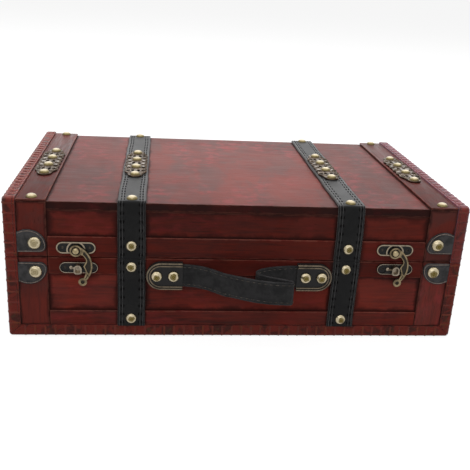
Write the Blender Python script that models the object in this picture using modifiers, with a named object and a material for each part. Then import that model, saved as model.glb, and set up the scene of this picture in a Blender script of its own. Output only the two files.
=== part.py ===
"""Wooden suitcase box with straps, swing-hook latches and a folded strap handle.

Metres, +Z up. The origin is the centre of the underside. The front looks along -Y.
The lid turns about a back edge axis along X, and each latch hook about its rivet along Y.
"""
import math

import bmesh
import bpy
from mathutils import Vector

# General clearances and fineness
FIT = 0.0003
OVERRUN = 0.004
MERGE = 0.00005
ROUND_PROFILE = 0.5
TURN_STEPS = 16
HOLE_SIDES = 12
CURVE_STEPS = 5
SHARP_ANGLE = math.radians(35)

# Outside of the case, over its edging
CASE_WIDTH = 0.340
CASE_DEPTH = 0.213
CASE_HEIGHT = 0.108
BASE_HEIGHT = 0.0635
SEAM_GAP = 0.0006

# Boards
WALL = 0.007
TOP_THICKNESS = 0.006
BOTTOM_THICKNESS = 0.005

# Embossed edging over the ends
EDGING_PROUD = 0.003
EDGING_WIDTH = 0.009
EDGING_ROUND = 0.0025
EDGING_ROUND_STEPS = 3

# Slats laid on the boards
SLAT_THICKNESS = 0.0016
SLAT_SOFTENING = 0.0004
STILE_WIDTH = 0.0207
LID_RAIL_HEIGHT = 0.0155
BASE_RAIL_HEIGHT = 0.013
LOWER_RAIL_HEIGHT = 0.0114

# Leather straps and corner patches
STRAP_PLACE_SHARE = 4 / 7
STRAP_WIDTH = 0.020
STRAP_THICKNESS = 0.0018
STRAP_BACK_MARGIN = 0.0004
PATCH_WIDTH = 0.0203
PATCH_HEIGHT = 0.0171
PATCH_THICKNESS = 0.0013
PATCH_SEAM_MARGIN = 0.0038
PATCH_TOE_ROUND = 0.002
PATCH_CROWN_SHARE = 0.75
PATCH_HEEL_ANGLE = 122
RIGHT_PATCH_LIFT = 0.003

# Dome tacks
TACK_RADIUS = 0.004
TACK_HEIGHT = 0.0022
TACK_SINK = 0.0005
TACK_INSET = 0.0042
CORNER_TACK_RADIUS = 0.0046
CORNER_TACK_INSET = 0.0122
CORNER_TACK_RISE = 0.0071
LID_STRAP_TACK_RISE = 0.0098
BASE_STRAP_TACK_DROP = 0.006
LOW_STRAP_TACK_RISE = 0.0063

# Pierced ornament plates
ORNAMENT_BODY_LENGTH = 0.056
ORNAMENT_WIDTH = 0.0192
ORNAMENT_THICKNESS = 0.0011
ORNAMENT_TACK_PITCH = 0.0228
ORNAMENT_TACKS = 4
SCALLOPS = 6
SCALLOP_DEPTH = 0.0014
ORNAMENT_NOSE_RADIUS = 0.0068
LEFT_ORNAMENT_SHIFT = 0.006
EYELET_RADIUS = 0.0011
EYELET_SIDES = 6
EYELET_TURN = 11
PETAL_LENGTH = 0.0052
PETAL_WIDTH = 0.0024

# Swing-hook latches
LATCH_SIDE_SHIFT = 0.0028
PIVOT_SIDE_SHIFT = 0.0017
PIVOT_RISE = 0.0058
KEEPER_DROP = 0.0072
RIGHT_LATCH_LIFT = 0.0018
LATCH_PLATE_WIDTH = 0.028
LATCH_PLATE_HEIGHT = 0.0088
LATCH_PLATE_LIFT = 0.0018
LATCH_PLATE_THICKNESS = 0.0013
LATCH_BOSS_RADIUS = 0.0042
LATCH_WELL_RADIUS = 0.0058
LATCH_COLLAR_RADIUS = 0.0068
LATCH_POCKET_DEPTH = 0.0006
LATCH_RIM = 0.0009
LATCH_SCREW_HOLE = 0.0011
KEEPER_WIDTH = 0.0276
KEEPER_HEIGHT = 0.0083
POST_WIDTH = 0.0057
POST_HEIGHT = 0.007
POST_REACH = 0.0042
POST_WALL = 0.001
POST_BORE_DEPTH = 0.0025
POST_CORNER_SHARE = 0.3
POST_SIDE_SHIFT = 0.0003
KEEPER_RIB_LENGTH = 0.0026
KEEPER_RIB_HEIGHT = 0.0015
KEEPER_RIB_PROUD = 0.0007
KEEPER_NUB_RADIUS = 0.0017
KEEPER_NUB_HEIGHT = 0.0012
HOOK_DROP = 0.0242
HOOK_THICKNESS = 0.0014
HOOK_ARM_RELIEF = 0.00015
HOOK_RING_RADIUS = 0.0044
HOOK_TIP_RADIUS = 0.0031
HOOK_TIP_DIMPLE = 0.0015
HOOK_RIM = 0.0011
HOOK_HOLLOW_DEPTH = 0.0006
HOOK_FORK_GAP = 0.0007
RIVET_RADIUS = 0.0013
RIVET_HEAD_RADIUS = 0.0025
RIVET_HEAD_HEIGHT = 0.0013

# Strap handle and its end caps
CAP_STRAP_MARGIN = 0.0007
HANDLE_HEIGHT_AT = 0.051
HANDLE_SAG_SHARE = 0.055
HANDLE_BOW = 0.0273
HANDLE_WIDTH = 0.0178
HANDLE_THICKNESS = 0.0022
HANDLE_FOLD_RADIUS = 0.0017
CAP_LENGTH = 0.0268
CAP_HEIGHT = 0.0214
CAP_DEPTH = 0.0046
CAP_WALL = 0.0009
CAP_EDGE = 0.0012
CAP_GROOVE = 0.0009
CAP_RIDGE = 0.0009
CAP_RECESS = 0.0006
CAP_ROUND = 0.0006
CAP_RIVET_FROM_MOUTH = 0.0068
CAP_RIVET_PITCH = 0.0123
CAP_RIVET_RADIUS = 0.0014
CAP_RIVET_HEAD_RADIUS = 0.0042
CAP_RIVET_HEAD_HEIGHT = 0.0021

# Butt hinges on the back
HINGE_SPACING = 0.190
HINGE_WIDTH = 0.024
HINGE_LEAF_HEIGHT = 0.0155
HINGE_LEAF_THICKNESS = 0.0012
HINGE_KNUCKLE_RADIUS = 0.0022
HINGE_PIN_RADIUS = 0.001
HINGE_PIN_HEAD_RADIUS = 0.0016
HINGE_PIN_HEAD_HEIGHT = 0.0008
HINGE_LEAF_RELIEF = 0.0014

# Shapes given as shares of the sizes they follow
HOOK_BOW_CENTRE_SHARES = (-0.211, -0.479)
HOOK_BOW_RADIUS_SHARE = 0.690
HOOK_TIP_SHARES = (0.186, -1.0)
HOOK_THROAT_SHARES = ((0.223, -0.880), (0.273, -0.748), (0.285, -0.669), (0.217, -0.488))
HOOK_NECK_SHARES = ((0.217, -0.488), (0.300, -0.331), (0.273, -0.236), (0.198, -0.140), (0.095, -0.128))
HOOK_HOLLOW_SHARES = (
    (-20, 0.562), (-15, 0.533), (-8, 0.492), (-1, 0.471), (5, 0.504), (15, 0.562), (26, 0.572), (42, 0.558),
)
HOOK_FORK_SHARES = ((-27, 0.620), (-34, 0.628), (-41, 0.640))
HANDLE_BACK_SHARES = (
    (1.000, 0.000), (0.870, 0.007), (0.744, 0.033), (0.512, 0.114), (0.360, 0.216), (0.279, 0.322),
    (0.263, 0.414), (0.302, 0.531), (0.419, 0.641), (0.605, 0.768),
)
HANDLE_FOLD_SHARES = (0.790, 0.950)
HANDLE_FRONT_SHARES = (
    (0.518, 0.985), (0.235, 0.883), (0.000, 0.736), (-0.165, 0.615), (-0.306, 0.516), (-0.447, 0.341),
    (-0.612, 0.168), (-0.753, 0.066), (-0.894, 0.011), (-1.000, 0.000),
)

# Places worked out from the sizes
HALF_WIDTH = CASE_WIDTH / 2
HALF_DEPTH = CASE_DEPTH / 2
BOARD_X = HALF_WIDTH - EDGING_PROUD
BOARD_Y = HALF_DEPTH - EDGING_PROUD
TOP_Z = CASE_HEIGHT - EDGING_PROUD
BASE_TOP = BASE_HEIGHT - SEAM_GAP / 2
LID_FLOOR = BASE_HEIGHT + SEAM_GAP / 2
SLAT_FACE = BOARD_Y + FIT + SLAT_THICKNESS
STILE_OUTER = HALF_WIDTH - EDGING_WIDTH - FIT
STILE_INNER = STILE_OUTER - STILE_WIDTH
STRAP_X = STILE_INNER * STRAP_PLACE_SHARE
LATCH_X = (STRAP_X + STRAP_WIDTH / 2 + STILE_INNER) / 2 + LATCH_SIDE_SHIFT
HANDLE_SPAN = 2 * (STRAP_X - STRAP_WIDTH / 2 - CAP_STRAP_MARGIN - CAP_LENGTH)
STRAP_SEAT = SLAT_FACE + FIT
STRAP_FACE = STRAP_SEAT + STRAP_THICKNESS
PATCH_SEAT = SLAT_FACE + FIT
LATCH_SEAT = SLAT_FACE + FIT
LATCH_PLATE_FACE = LATCH_SEAT + LATCH_PLATE_THICKNESS
HOOK_BACK = LATCH_PLATE_FACE + FIT
HOOK_FACE = HOOK_BACK + HOOK_THICKNESS
PIVOT_Z = LID_FLOOR + PIVOT_RISE
KEEPER_Z = BASE_TOP - KEEPER_DROP
CAP_SEAT = SLAT_FACE + FIT
HANDLE_SEAT = CAP_SEAT + FIT + HANDLE_THICKNESS / 2
HINGE_Y = BOARD_Y + FIT + HINGE_LEAF_THICKNESS + HINGE_KNUCKLE_RADIUS
HINGE_Z = BASE_HEIGHT

# Turns that lay a flat outline on the front, or stand it across the case
ON_FRONT = (math.pi / 2, 0, 0)
ACROSS = (math.pi / 2, 0, math.pi / 2)
ALONG_X = (0, math.pi / 2, 0)


def clear_scene():
    for existing in list(bpy.data.objects):
        bpy.data.objects.remove(existing, do_unlink=True)


def new_collection(name):
    made = bpy.data.collections.new(name)
    bpy.context.scene.collection.children.link(made)
    return made


def new_material(name, colour, roughness, metallic):
    made = bpy.data.materials.new(name)
    made.use_nodes = True
    shader = made.node_tree.nodes["Principled BSDF"]
    shader.inputs["Base Color"].default_value = (*colour, 1)
    shader.inputs["Roughness"].default_value = roughness
    shader.inputs["Metallic"].default_value = metallic
    made.diffuse_color = (*colour, 1)
    return made


clear_scene()
PARTS = new_collection("wooden_suitcase_box")
CUTTERS = new_collection("cutters")
STAINED_WOOD = new_material("stained_wood", (0.17, 0.028, 0.018), 0.42, 0)
EDGING = new_material("embossed_edging", (0.22, 0.030, 0.020), 0.38, 0)
BLACK_LEATHER = new_material("black_leather", (0.018, 0.018, 0.019), 0.5, 0)
BRASS = new_material("aged_brass", (0.60, 0.50, 0.28), 0.3, 1)
BRONZE = new_material("dark_bronze", (0.20, 0.16, 0.10), 0.42, 1)


def part(made, material, body=None):
    """Puts a piece in the part's collection and hangs it on the empty that it moves with."""
    PARTS.objects.link(made)
    made.data.materials.append(material)
    if body is not None:
        made.parent = body
        made.location = made.location - body.location
    return made


def guide(made):
    """Keeps a cutting or joining shape out of the part."""
    CUTTERS.objects.link(made)
    made.hide_render = True
    made.display_type = 'WIRE'
    return made


def pivot(name, place):
    """An empty on a joint's axis."""
    made = bpy.data.objects.new(name, None)
    PARTS.objects.link(made)
    made.location = place
    made.empty_display_size = HINGE_WIDTH
    return made


def solid(name, bm, place=(0, 0, 0), turn=(0, 0, 0), rounded=True):
    """An object from finished geometry. A rounded one is shaded smooth up to its sharp edges."""
    mesh = bpy.data.meshes.new(name)
    bm.to_mesh(mesh)
    bm.free()
    if rounded:
        mesh.shade_smooth()
        mesh.set_sharp_from_angle(angle=SHARP_ANGLE)
    made = bpy.data.objects.new(name, mesh)
    made.location = place
    made.rotation_euler = turn
    return made


def settled(drawn):
    """Welds what a drawn curve or profile evaluates to, and drops the drawing."""
    CUTTERS.objects.link(drawn)
    bpy.context.view_layer.update()
    graph = bpy.context.evaluated_depsgraph_get()
    mesh = bpy.data.meshes.new_from_object(drawn.evaluated_get(graph))
    bpy.data.objects.remove(drawn, do_unlink=True)
    bm = bmesh.new()
    bm.from_mesh(mesh)
    bpy.data.meshes.remove(mesh)
    bmesh.ops.remove_doubles(bm, verts=bm.verts, dist=MERGE)
    bmesh.ops.recalc_face_normals(bm, faces=bm.faces)
    return bm


def block(name, corner, opposite):
    """A box between two corners, with its origin at its centre."""
    one = Vector(corner)
    other = Vector(opposite)
    size = [abs(a - b) for a, b in zip(one, other)]
    bm = bmesh.new()
    bmesh.ops.create_cube(bm, size=1)
    bmesh.ops.scale(bm, vec=size, verts=bm.verts)
    return solid(name, bm, (one + other) / 2, rounded=False)


def rod(name, radius, length, place, turn, sides=TURN_STEPS):
    """A cylinder about its own Z, centred on its place."""
    bm = bmesh.new()
    bmesh.ops.create_cone(bm, cap_ends=True, segments=sides, radius1=radius, radius2=radius, depth=length)
    return solid(name, bm, place, turn)


def turned(name, profile, place=(0, 0, 0), turn=(0, 0, 0)):
    """A closed shape turned about its own Z, from (radius, height) points that run top to bottom."""
    mesh = bpy.data.meshes.new(name)
    points = [(radius, 0, height) for radius, height in profile]
    edges = [(index, index + 1) for index in range(len(profile) - 1)]
    mesh.from_pydata(points, edges, [])
    drawn = bpy.data.objects.new(name, mesh)
    screw = drawn.modifiers.new("turn", 'SCREW')
    screw.steps = TURN_STEPS
    screw.render_steps = TURN_STEPS
    screw.use_merge_vertices = True
    screw.merge_threshold = MERGE
    bm = settled(drawn)
    bpy.data.meshes.remove(mesh)
    return solid(name, bm, place, turn)


def outline_solid(name, loop, thickness, place, turn=(0, 0, 0)):
    """A flat outline given a thickness about its own plane."""
    bm = bmesh.new()
    rim = [bm.verts.new((across, up, -thickness / 2)) for across, up in loop]
    raised = bmesh.ops.extrude_face_region(bm, geom=[bm.faces.new(rim)])["geom"]
    lifted = [item for item in raised if isinstance(item, bmesh.types.BMVert)]
    bmesh.ops.translate(bm, vec=(0, 0, thickness), verts=lifted)
    bmesh.ops.recalc_face_normals(bm, faces=bm.faces)
    return solid(name, bm, place, turn)


def pierced_solid(name, loops, thickness, place, turn=(0, 0, 0)):
    """A flat outline with holes, given a thickness about its own plane. Loops after the first are holes."""
    curve = bpy.data.curves.new(name, 'CURVE')
    curve.dimensions = '2D'
    curve.fill_mode = 'BOTH'
    curve.extrude = thickness / 2
    for loop in loops:
        spline = curve.splines.new('POLY')
        spline.points.add(len(loop) - 1)
        for point, (across, up) in zip(spline.points, loop):
            point.co = (across, up, 0, 1)
        spline.use_cyclic_u = True
    bm = settled(bpy.data.objects.new(name, curve))
    bpy.data.curves.remove(curve)
    return solid(name, bm, place, turn)


def soften(made, width, segments=1):
    bevel = made.modifiers.new("soft_edges", 'BEVEL')
    bevel.width = width
    bevel.segments = segments
    bevel.limit_method = 'ANGLE'
    bevel.angle_limit = SHARP_ANGLE
    return made


def shape(made, tool, operation='DIFFERENCE'):
    """Cuts, joins or trims a piece with a guide."""
    boolean = made.modifiers.new(tool.name, 'BOOLEAN')
    boolean.operation = operation
    boolean.object = guide(tool)
    return made


def arc(centre, radius, start, end, steps):
    """Points along an arc between two angles in degrees, both ends included."""
    points = []
    for step in range(steps + 1):
        angle = math.radians(start + (end - start) * step / steps)
        points.append((centre[0] + radius * math.cos(angle), centre[1] + radius * math.sin(angle)))
    return points


def circle(centre, radius, sides, start):
    return arc(centre, radius, start, start + 360, sides)[:-1]


def stadium(centre, width, height):
    """A bar with two round ends."""
    radius = height / 2
    reach = width / 2 - radius
    right = arc((centre[0] + reach, centre[1]), radius, -90, 90, TURN_STEPS // 2)
    left = arc((centre[0] - reach, centre[1]), radius, 90, 270, TURN_STEPS // 2)
    return right + left


def smooth_run(points, steps=CURVE_STEPS):
    """A curve through the points, with both ends included."""
    ends = [points[0]] + list(points) + [points[-1]]
    run = []
    for before, start, end, after in zip(ends, ends[1:], ends[2:], ends[3:]):
        for step in range(steps):
            share = step / steps
            run.append(tuple(blend(a, b, c, d, share) for a, b, c, d in zip(before, start, end, after)))
    run.append(tuple(points[-1]))
    return run


def blend(before, start, end, after, share):
    """One coordinate between start and end, with slopes taken from the points on either side."""
    bend = 2 * before - 5 * start + 4 * end - after
    twist = 3 * (start - end) + after - before
    return start + ((end - before) * share + bend * share ** 2 + twist * share ** 3) / 2


def ribbon(route, thickness):
    """The closed outline of a strip of even thickness along a route."""
    left = []
    right = []
    for index, point in enumerate(route):
        before = Vector(route[max(index - 1, 0)])
        after = Vector(route[min(index + 1, len(route) - 1)])
        along = (after - before).normalized()
        aside = Vector((-along.y, along.x)) * thickness / 2
        left.append(tuple(Vector(point) + aside))
        right.append(tuple(Vector(point) - aside))
    return left + right[::-1]


def dome(radius, rise, seat):
    """The profile of a dome from its top down to its rim."""
    return [(radius * math.sin(math.radians(step)), seat + rise * math.cos(math.radians(step)))
            for step in range(0, 91, 30)]


def tack(name, radius, place, turn=(0, 0, 0), height=TACK_HEIGHT):
    """A dome head whose rim is sunk a little in what carries it."""
    profile = dome(radius, height + TACK_SINK, -TACK_SINK) + [(0, -TACK_SINK)]
    return turned(name, profile, place, turn)


# Boards of the base and the lid

def base_boards():
    inner_x = BOARD_X - WALL
    inner_y = BOARD_Y - WALL
    for name, side in (("front", -1), ("back", 1)):
        part(block(f"base_{name}_board", (-BOARD_X, side * inner_y, 0), (BOARD_X, side * BOARD_Y, BASE_TOP)),
             STAINED_WOOD)
    for name, side in (("left", -1), ("right", 1)):
        part(block(f"base_{name}_board", (side * inner_x, FIT - inner_y, 0),
                   (side * BOARD_X, inner_y - FIT, BASE_TOP)), STAINED_WOOD)
    part(block("base_bottom_board", (FIT - inner_x, FIT - inner_y, 0),
               (inner_x - FIT, inner_y - FIT, BOTTOM_THICKNESS)), STAINED_WOOD)


def lid_boards(lid):
    inner_x = BOARD_X - WALL
    inner_y = BOARD_Y - WALL
    ceiling = TOP_Z - TOP_THICKNESS
    for name, side in (("front", -1), ("back", 1)):
        part(block(f"lid_{name}_board", (-BOARD_X, side * inner_y, LID_FLOOR),
                   (BOARD_X, side * BOARD_Y, ceiling - FIT)), STAINED_WOOD, lid)
    for name, side in (("left", -1), ("right", 1)):
        part(block(f"lid_{name}_board", (side * inner_x, FIT - inner_y, LID_FLOOR),
                   (side * BOARD_X, inner_y - FIT, ceiling - FIT)), STAINED_WOOD, lid)
    part(block("lid_top_board", (-BOARD_X, -BOARD_Y, ceiling), (BOARD_X, BOARD_Y, TOP_Z)), STAINED_WOOD, lid)


# Slats that frame the front panels and run over the top

def slat(name, corner, opposite, body=None):
    return part(soften(block(name, corner, opposite), SLAT_SOFTENING), STAINED_WOOD, body)


def front_slat(name, left, right, floor, ceiling, body=None):
    return slat(name, (left, -SLAT_FACE, floor), (right, -BOARD_Y - FIT, ceiling), body)


def base_slats():
    rail_end = STILE_INNER - FIT
    lower = EDGING_WIDTH + FIT
    front_slat("base_upper_rail", -rail_end, rail_end, BASE_TOP - BASE_RAIL_HEIGHT, BASE_TOP)
    front_slat("base_lower_rail", -rail_end, rail_end, lower, lower + LOWER_RAIL_HEIGHT)
    for name, side in (("left", -1), ("right", 1)):
        front_slat(f"base_stile_{name}", side * STILE_INNER, side * STILE_OUTER, lower, BASE_TOP)


def lid_slats(lid):
    rail_end = STILE_INNER - FIT
    front_slat("lid_rail", -rail_end, rail_end, LID_FLOOR, LID_FLOOR + LID_RAIL_HEIGHT, lid)
    strip_top = TOP_Z + FIT + SLAT_THICKNESS
    for name, side in (("left", -1), ("right", 1)):
        front_slat(f"lid_stile_{name}", side * STILE_INNER, side * STILE_OUTER, LID_FLOOR, TOP_Z, lid)
        strip = slat(f"top_strip_{name}", (side * STILE_INNER, -SLAT_FACE, TOP_Z + FIT),
                     (side * STILE_OUTER, BOARD_Y, strip_top), lid)
        middle = side * (STILE_INNER + STILE_OUTER) / 2
        for end, toward in (("front", -1), ("back", 1)):
            place = (middle, toward * (BOARD_Y - TACK_INSET), strip_top)
            shape(strip, tack(f"top_strip_{name}_{end}_tack", TACK_RADIUS, place), 'UNION')


# Embossed edging that wraps the corners

def rounded_case(name, floor, ceiling, open_end):
    """The case's outer block with every edge rounded, apart from those round its open end."""
    made = block(name, (-HALF_WIDTH, -HALF_DEPTH, floor), (HALF_WIDTH, HALF_DEPTH, ceiling))
    bm = bmesh.new()
    bm.from_mesh(made.data)
    height = open_end - made.location.z
    rounded = [edge for edge in bm.edges if any(abs(vert.co.z - height) > MERGE for vert in edge.verts)]
    bmesh.ops.bevel(bm, geom=rounded, offset=EDGING_ROUND, segments=EDGING_ROUND_STEPS,
                    affect='EDGES', profile=ROUND_PROFILE)
    bm.to_mesh(made.data)
    bm.free()
    return made


def mitre(name, side, grow, depth_in):
    """The wedge that a bottom edging strip fills, grown by a clearance where it cuts its neighbour."""
    slant = grow * math.sqrt(2)
    low = HALF_WIDTH + OVERRUN + slant
    high = HALF_WIDTH - EDGING_WIDTH - grow + slant
    loop = ((-low, -OVERRUN), (low, -OVERRUN), (high, EDGING_WIDTH + grow), (-high, EDGING_WIDTH + grow))
    thickness = HALF_DEPTH + OVERRUN - depth_in
    return outline_solid(name, loop, thickness, (0, side * (depth_in + thickness / 2), 0), ON_FRONT)


def edging_band(name, side, floor, ceiling, open_end, core_top, window_floor, window_top):
    """The edging of one end: up the front corner, along the end and down the back corner."""
    band = rounded_case(name, floor, ceiling, open_end)
    inner = HALF_WIDTH - EDGING_WIDTH
    outside = HALF_WIDTH + OVERRUN
    below = floor - OVERRUN
    end_slab = block(f"{name}_end", (side * inner, -HALF_DEPTH - OVERRUN, below),
                     (side * outside, HALF_DEPTH + OVERRUN, ceiling + OVERRUN))
    core = block(f"{name}_core", (side * (inner - OVERRUN), -BOARD_Y - FIT, below),
                 (side * (BOARD_X + FIT), BOARD_Y + FIT, core_top))
    window = block(f"{name}_window", (side * inner, EDGING_WIDTH - HALF_DEPTH, window_floor),
                   (side * outside, HALF_DEPTH - EDGING_WIDTH, window_top))
    shape(band, end_slab, 'INTERSECT')
    shape(band, core)
    shape(band, window)
    return band


def base_edging():
    for name, side in (("left", -1), ("right", 1)):
        band = edging_band(f"base_edging_{name}", side, 0, BASE_TOP, BASE_TOP, BASE_TOP + OVERRUN,
                           EDGING_WIDTH, BASE_TOP + OVERRUN)
        for end, toward in (("front", -1), ("back", 1)):
            shape(band, mitre(f"base_edging_{name}_{end}_mitre", toward, FIT, BOARD_Y))
        part(band, EDGING)
    for name, side in (("front", -1), ("back", 1)):
        strip = rounded_case(f"base_edging_{name}", 0, BASE_TOP, BASE_TOP)
        shape(strip, mitre(f"base_edging_{name}_wedge", side, 0, BOARD_Y + FIT), 'INTERSECT')
        part(strip, EDGING)


def lid_edging(lid):
    for name, side in (("left", -1), ("right", 1)):
        band = edging_band(f"lid_edging_{name}", side, LID_FLOOR, CASE_HEIGHT, LID_FLOOR, TOP_Z + FIT,
                           LID_FLOOR - OVERRUN, CASE_HEIGHT - EDGING_WIDTH)
        part(band, EDGING, lid)


# Leather straps and corner patches

def strap_route():
    """The middle line of a lid strap, from the back of the top over the front edge to the seam."""
    half = STRAP_THICKNESS / 2
    over = arc((-BOARD_Y, TOP_Z), FIT + half, 90, 180, CURVE_STEPS)
    rail_top = LID_FLOOR + LID_RAIL_HEIGHT + STRAP_THICKNESS
    seat = -STRAP_SEAT - half
    return [(BOARD_Y - STRAP_BACK_MARGIN, TOP_Z + FIT + half)] + over + [(seat, rail_top), (seat, LID_FLOOR)]


def straps(lid):
    seat = STRAP_SEAT + STRAP_THICKNESS / 2
    top = TOP_Z + FIT + STRAP_THICKNESS
    for name, side in (("left", -1), ("right", 1)):
        middle = side * STRAP_X
        upper = outline_solid(f"lid_strap_{name}", ribbon(strap_route(), STRAP_THICKNESS), STRAP_WIDTH,
                              (middle, 0, 0), ACROSS)
        for end, toward in (("front", -1), ("back", 1)):
            place = (middle, toward * (BOARD_Y - TACK_INSET), top)
            shape(upper, tack(f"lid_strap_{name}_{end}_tack", TACK_RADIUS, place), 'UNION')
        place = (middle, -STRAP_FACE, LID_FLOOR + LID_STRAP_TACK_RISE)
        shape(upper, tack(f"lid_strap_{name}_rail_tack", TACK_RADIUS, place, ON_FRONT), 'UNION')
        part(upper, BLACK_LEATHER, lid)
        foot = EDGING_WIDTH + FIT
        lower = block(f"base_strap_{name}", (middle - STRAP_WIDTH / 2, -seat - STRAP_THICKNESS / 2, foot),
                      (middle + STRAP_WIDTH / 2, -STRAP_SEAT, BASE_TOP))
        heights = (("upper", BASE_TOP - BASE_STRAP_TACK_DROP), ("lower", foot + LOW_STRAP_TACK_RISE))
        for end, height in heights:
            place = (middle, -STRAP_FACE, height)
            shape(lower, tack(f"base_strap_{name}_{end}_tack", TACK_RADIUS, place, ON_FRONT), 'UNION')
        part(lower, BLACK_LEATHER)


def patch_outline(side, up):
    """A tongue from the edging towards the middle, flat along the seam and rounded away from it."""
    reach = PATCH_HEIGHT * PATCH_CROWN_SHARE
    round_x = PATCH_WIDTH - reach
    rise = PATCH_HEIGHT - PATCH_TOE_ROUND
    toe = arc((PATCH_WIDTH - PATCH_TOE_ROUND, PATCH_TOE_ROUND), PATCH_TOE_ROUND, -90, 0, CURVE_STEPS)
    crown = [(round_x + reach * math.cos(math.radians(angle)),
              PATCH_TOE_ROUND + rise * math.sin(math.radians(angle)))
             for angle in [*range(15, PATCH_HEEL_ANGLE, 12), PATCH_HEEL_ANGLE]]
    heel = (0, crown[-1][1])
    points = [(0, 0)] + toe + crown + [heel]
    return [(-side * across, up * height) for across, height in points]


def corner_patches(lid):
    seat = PATCH_SEAT + PATCH_THICKNESS / 2
    for name, side, lift in (("left", -1, 0), ("right", 1, RIGHT_PATCH_LIFT)):
        for deck, up, flat, body in (("lid", 1, LID_FLOOR + PATCH_SEAM_MARGIN + lift, lid),
                                     ("base", -1, BASE_TOP - PATCH_SEAM_MARGIN + FIT + lift, None)):
            node = f"{deck}_corner_patch_{name}"
            patch = outline_solid(node, patch_outline(side, up), PATCH_THICKNESS,
                                  (side * STILE_OUTER, -seat, flat), ON_FRONT)
            place = (side * (STILE_OUTER - CORNER_TACK_INSET), -PATCH_SEAT - PATCH_THICKNESS,
                     flat + up * CORNER_TACK_RISE)
            shape(patch, tack(f"{node}_tack", CORNER_TACK_RADIUS, place, ON_FRONT), 'UNION')
            part(patch, BLACK_LEATHER, body)


# Pierced ornament plates

def ornament_outline():
    """Scalloped long sides between two shoulders, and a round nose about each end tack."""
    half_length = ORNAMENT_BODY_LENGTH / 2
    end_tack = (ORNAMENT_TACKS - 1) / 2 * ORNAMENT_TACK_PITCH
    half_width = ORNAMENT_WIDTH / 2 - SCALLOP_DEPTH
    right = []
    for step in range(SCALLOPS * 4 + 1):
        along = -half_length + 2 * half_length * step / (SCALLOPS * 4)
        swell = abs(math.sin(math.pi * step / 4))
        right.append((half_width + SCALLOP_DEPTH * swell, along))
    upper = right + arc((0, end_tack), ORNAMENT_NOSE_RADIUS, -20, 200, TURN_STEPS // 2)
    return upper + [(-across, -along) for across, along in upper]


def ornament_holes():
    """A row of eyelets along each side and a pair of petals between neighbouring tacks."""
    half_length = ORNAMENT_BODY_LENGTH / 2
    holes = []
    eyelet_x = ORNAMENT_WIDTH / 2 - 2 * SCALLOP_DEPTH
    for index in range(SCALLOPS):
        along = -half_length + 2 * half_length * (index + 0.5) / SCALLOPS
        for side in (-1, 1):
            holes.append(circle((side * eyelet_x, along), EYELET_RADIUS, EYELET_SIDES, EYELET_TURN * side))
    for index in range(ORNAMENT_TACKS - 1):
        along = (index - (ORNAMENT_TACKS - 2) / 2) * ORNAMENT_TACK_PITCH
        for side in (-1, 1):
            middle = (side * PETAL_WIDTH, along)
            petal = [(middle[0] + PETAL_WIDTH / 2 * math.cos(math.radians(angle)),
                      middle[1] + PETAL_LENGTH / 2 * math.sin(math.radians(angle)))
                     for angle in range(0, 360, 45)]
            holes.append(petal)
    return holes


def ornaments(lid):
    strip_middle = (STILE_INNER + STILE_OUTER) / 2
    strip_top = TOP_Z + FIT + SLAT_THICKNESS
    strap_top = TOP_Z + FIT + STRAP_THICKNESS
    rows = (("strip_left", -strip_middle, -LEFT_ORNAMENT_SHIFT, strip_top),
            ("strap_left", -STRAP_X, -LEFT_ORNAMENT_SHIFT, strap_top),
            ("strap_right", STRAP_X, 0, strap_top), ("strip_right", strip_middle, 0, strip_top))
    for name, across, shift, seat in rows:
        node = f"ornament_{name}"
        floor = seat + FIT
        plate = pierced_solid(node, [ornament_outline()] + ornament_holes(), ORNAMENT_THICKNESS,
                              (across, shift, floor + ORNAMENT_THICKNESS / 2))
        for index in range(ORNAMENT_TACKS):
            along = (index - (ORNAMENT_TACKS - 1) / 2) * ORNAMENT_TACK_PITCH + shift
            place = (across, along, floor + ORNAMENT_THICKNESS)
            shape(plate, tack(f"{node}_tack_{index + 1}", TACK_RADIUS, place), 'UNION')
        part(plate, BRONZE, lid)


# Swing-hook latches

def crossing(radius, height):
    """The angle at which a circle about the rivet reaches a height."""
    return math.degrees(math.asin(height / radius))


def lobe_outline(side):
    """A sunk lobe: round at its outer end and hollowed where it nears the collar round the rivet."""
    radius = LATCH_PLATE_HEIGHT / 2 - LATCH_RIM
    lobe = (LATCH_PLATE_WIDTH - LATCH_PLATE_HEIGHT) / 2
    top = crossing(LATCH_COLLAR_RADIUS, LATCH_PLATE_LIFT + radius)
    foot = crossing(LATCH_COLLAR_RADIUS, LATCH_PLATE_LIFT - radius)
    outer = arc((lobe, LATCH_PLATE_LIFT), radius, -90, 90, TURN_STEPS // 2)
    inner = arc((0, 0), LATCH_COLLAR_RADIUS, top, foot, CURVE_STEPS)
    return [(side * across, up) for across, up in outer + inner]


def well_outline():
    """The sunk middle round the rivet, flat along the top and foot of the plate."""
    radius = LATCH_PLATE_HEIGHT / 2 - LATCH_RIM
    top = crossing(LATCH_WELL_RADIUS, LATCH_PLATE_LIFT + radius)
    foot = crossing(LATCH_WELL_RADIUS, LATCH_PLATE_LIFT - radius)
    right = arc((0, 0), LATCH_WELL_RADIUS, foot, top, CURVE_STEPS)
    return right + [(-across, up) for across, up in right[::-1]]


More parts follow.
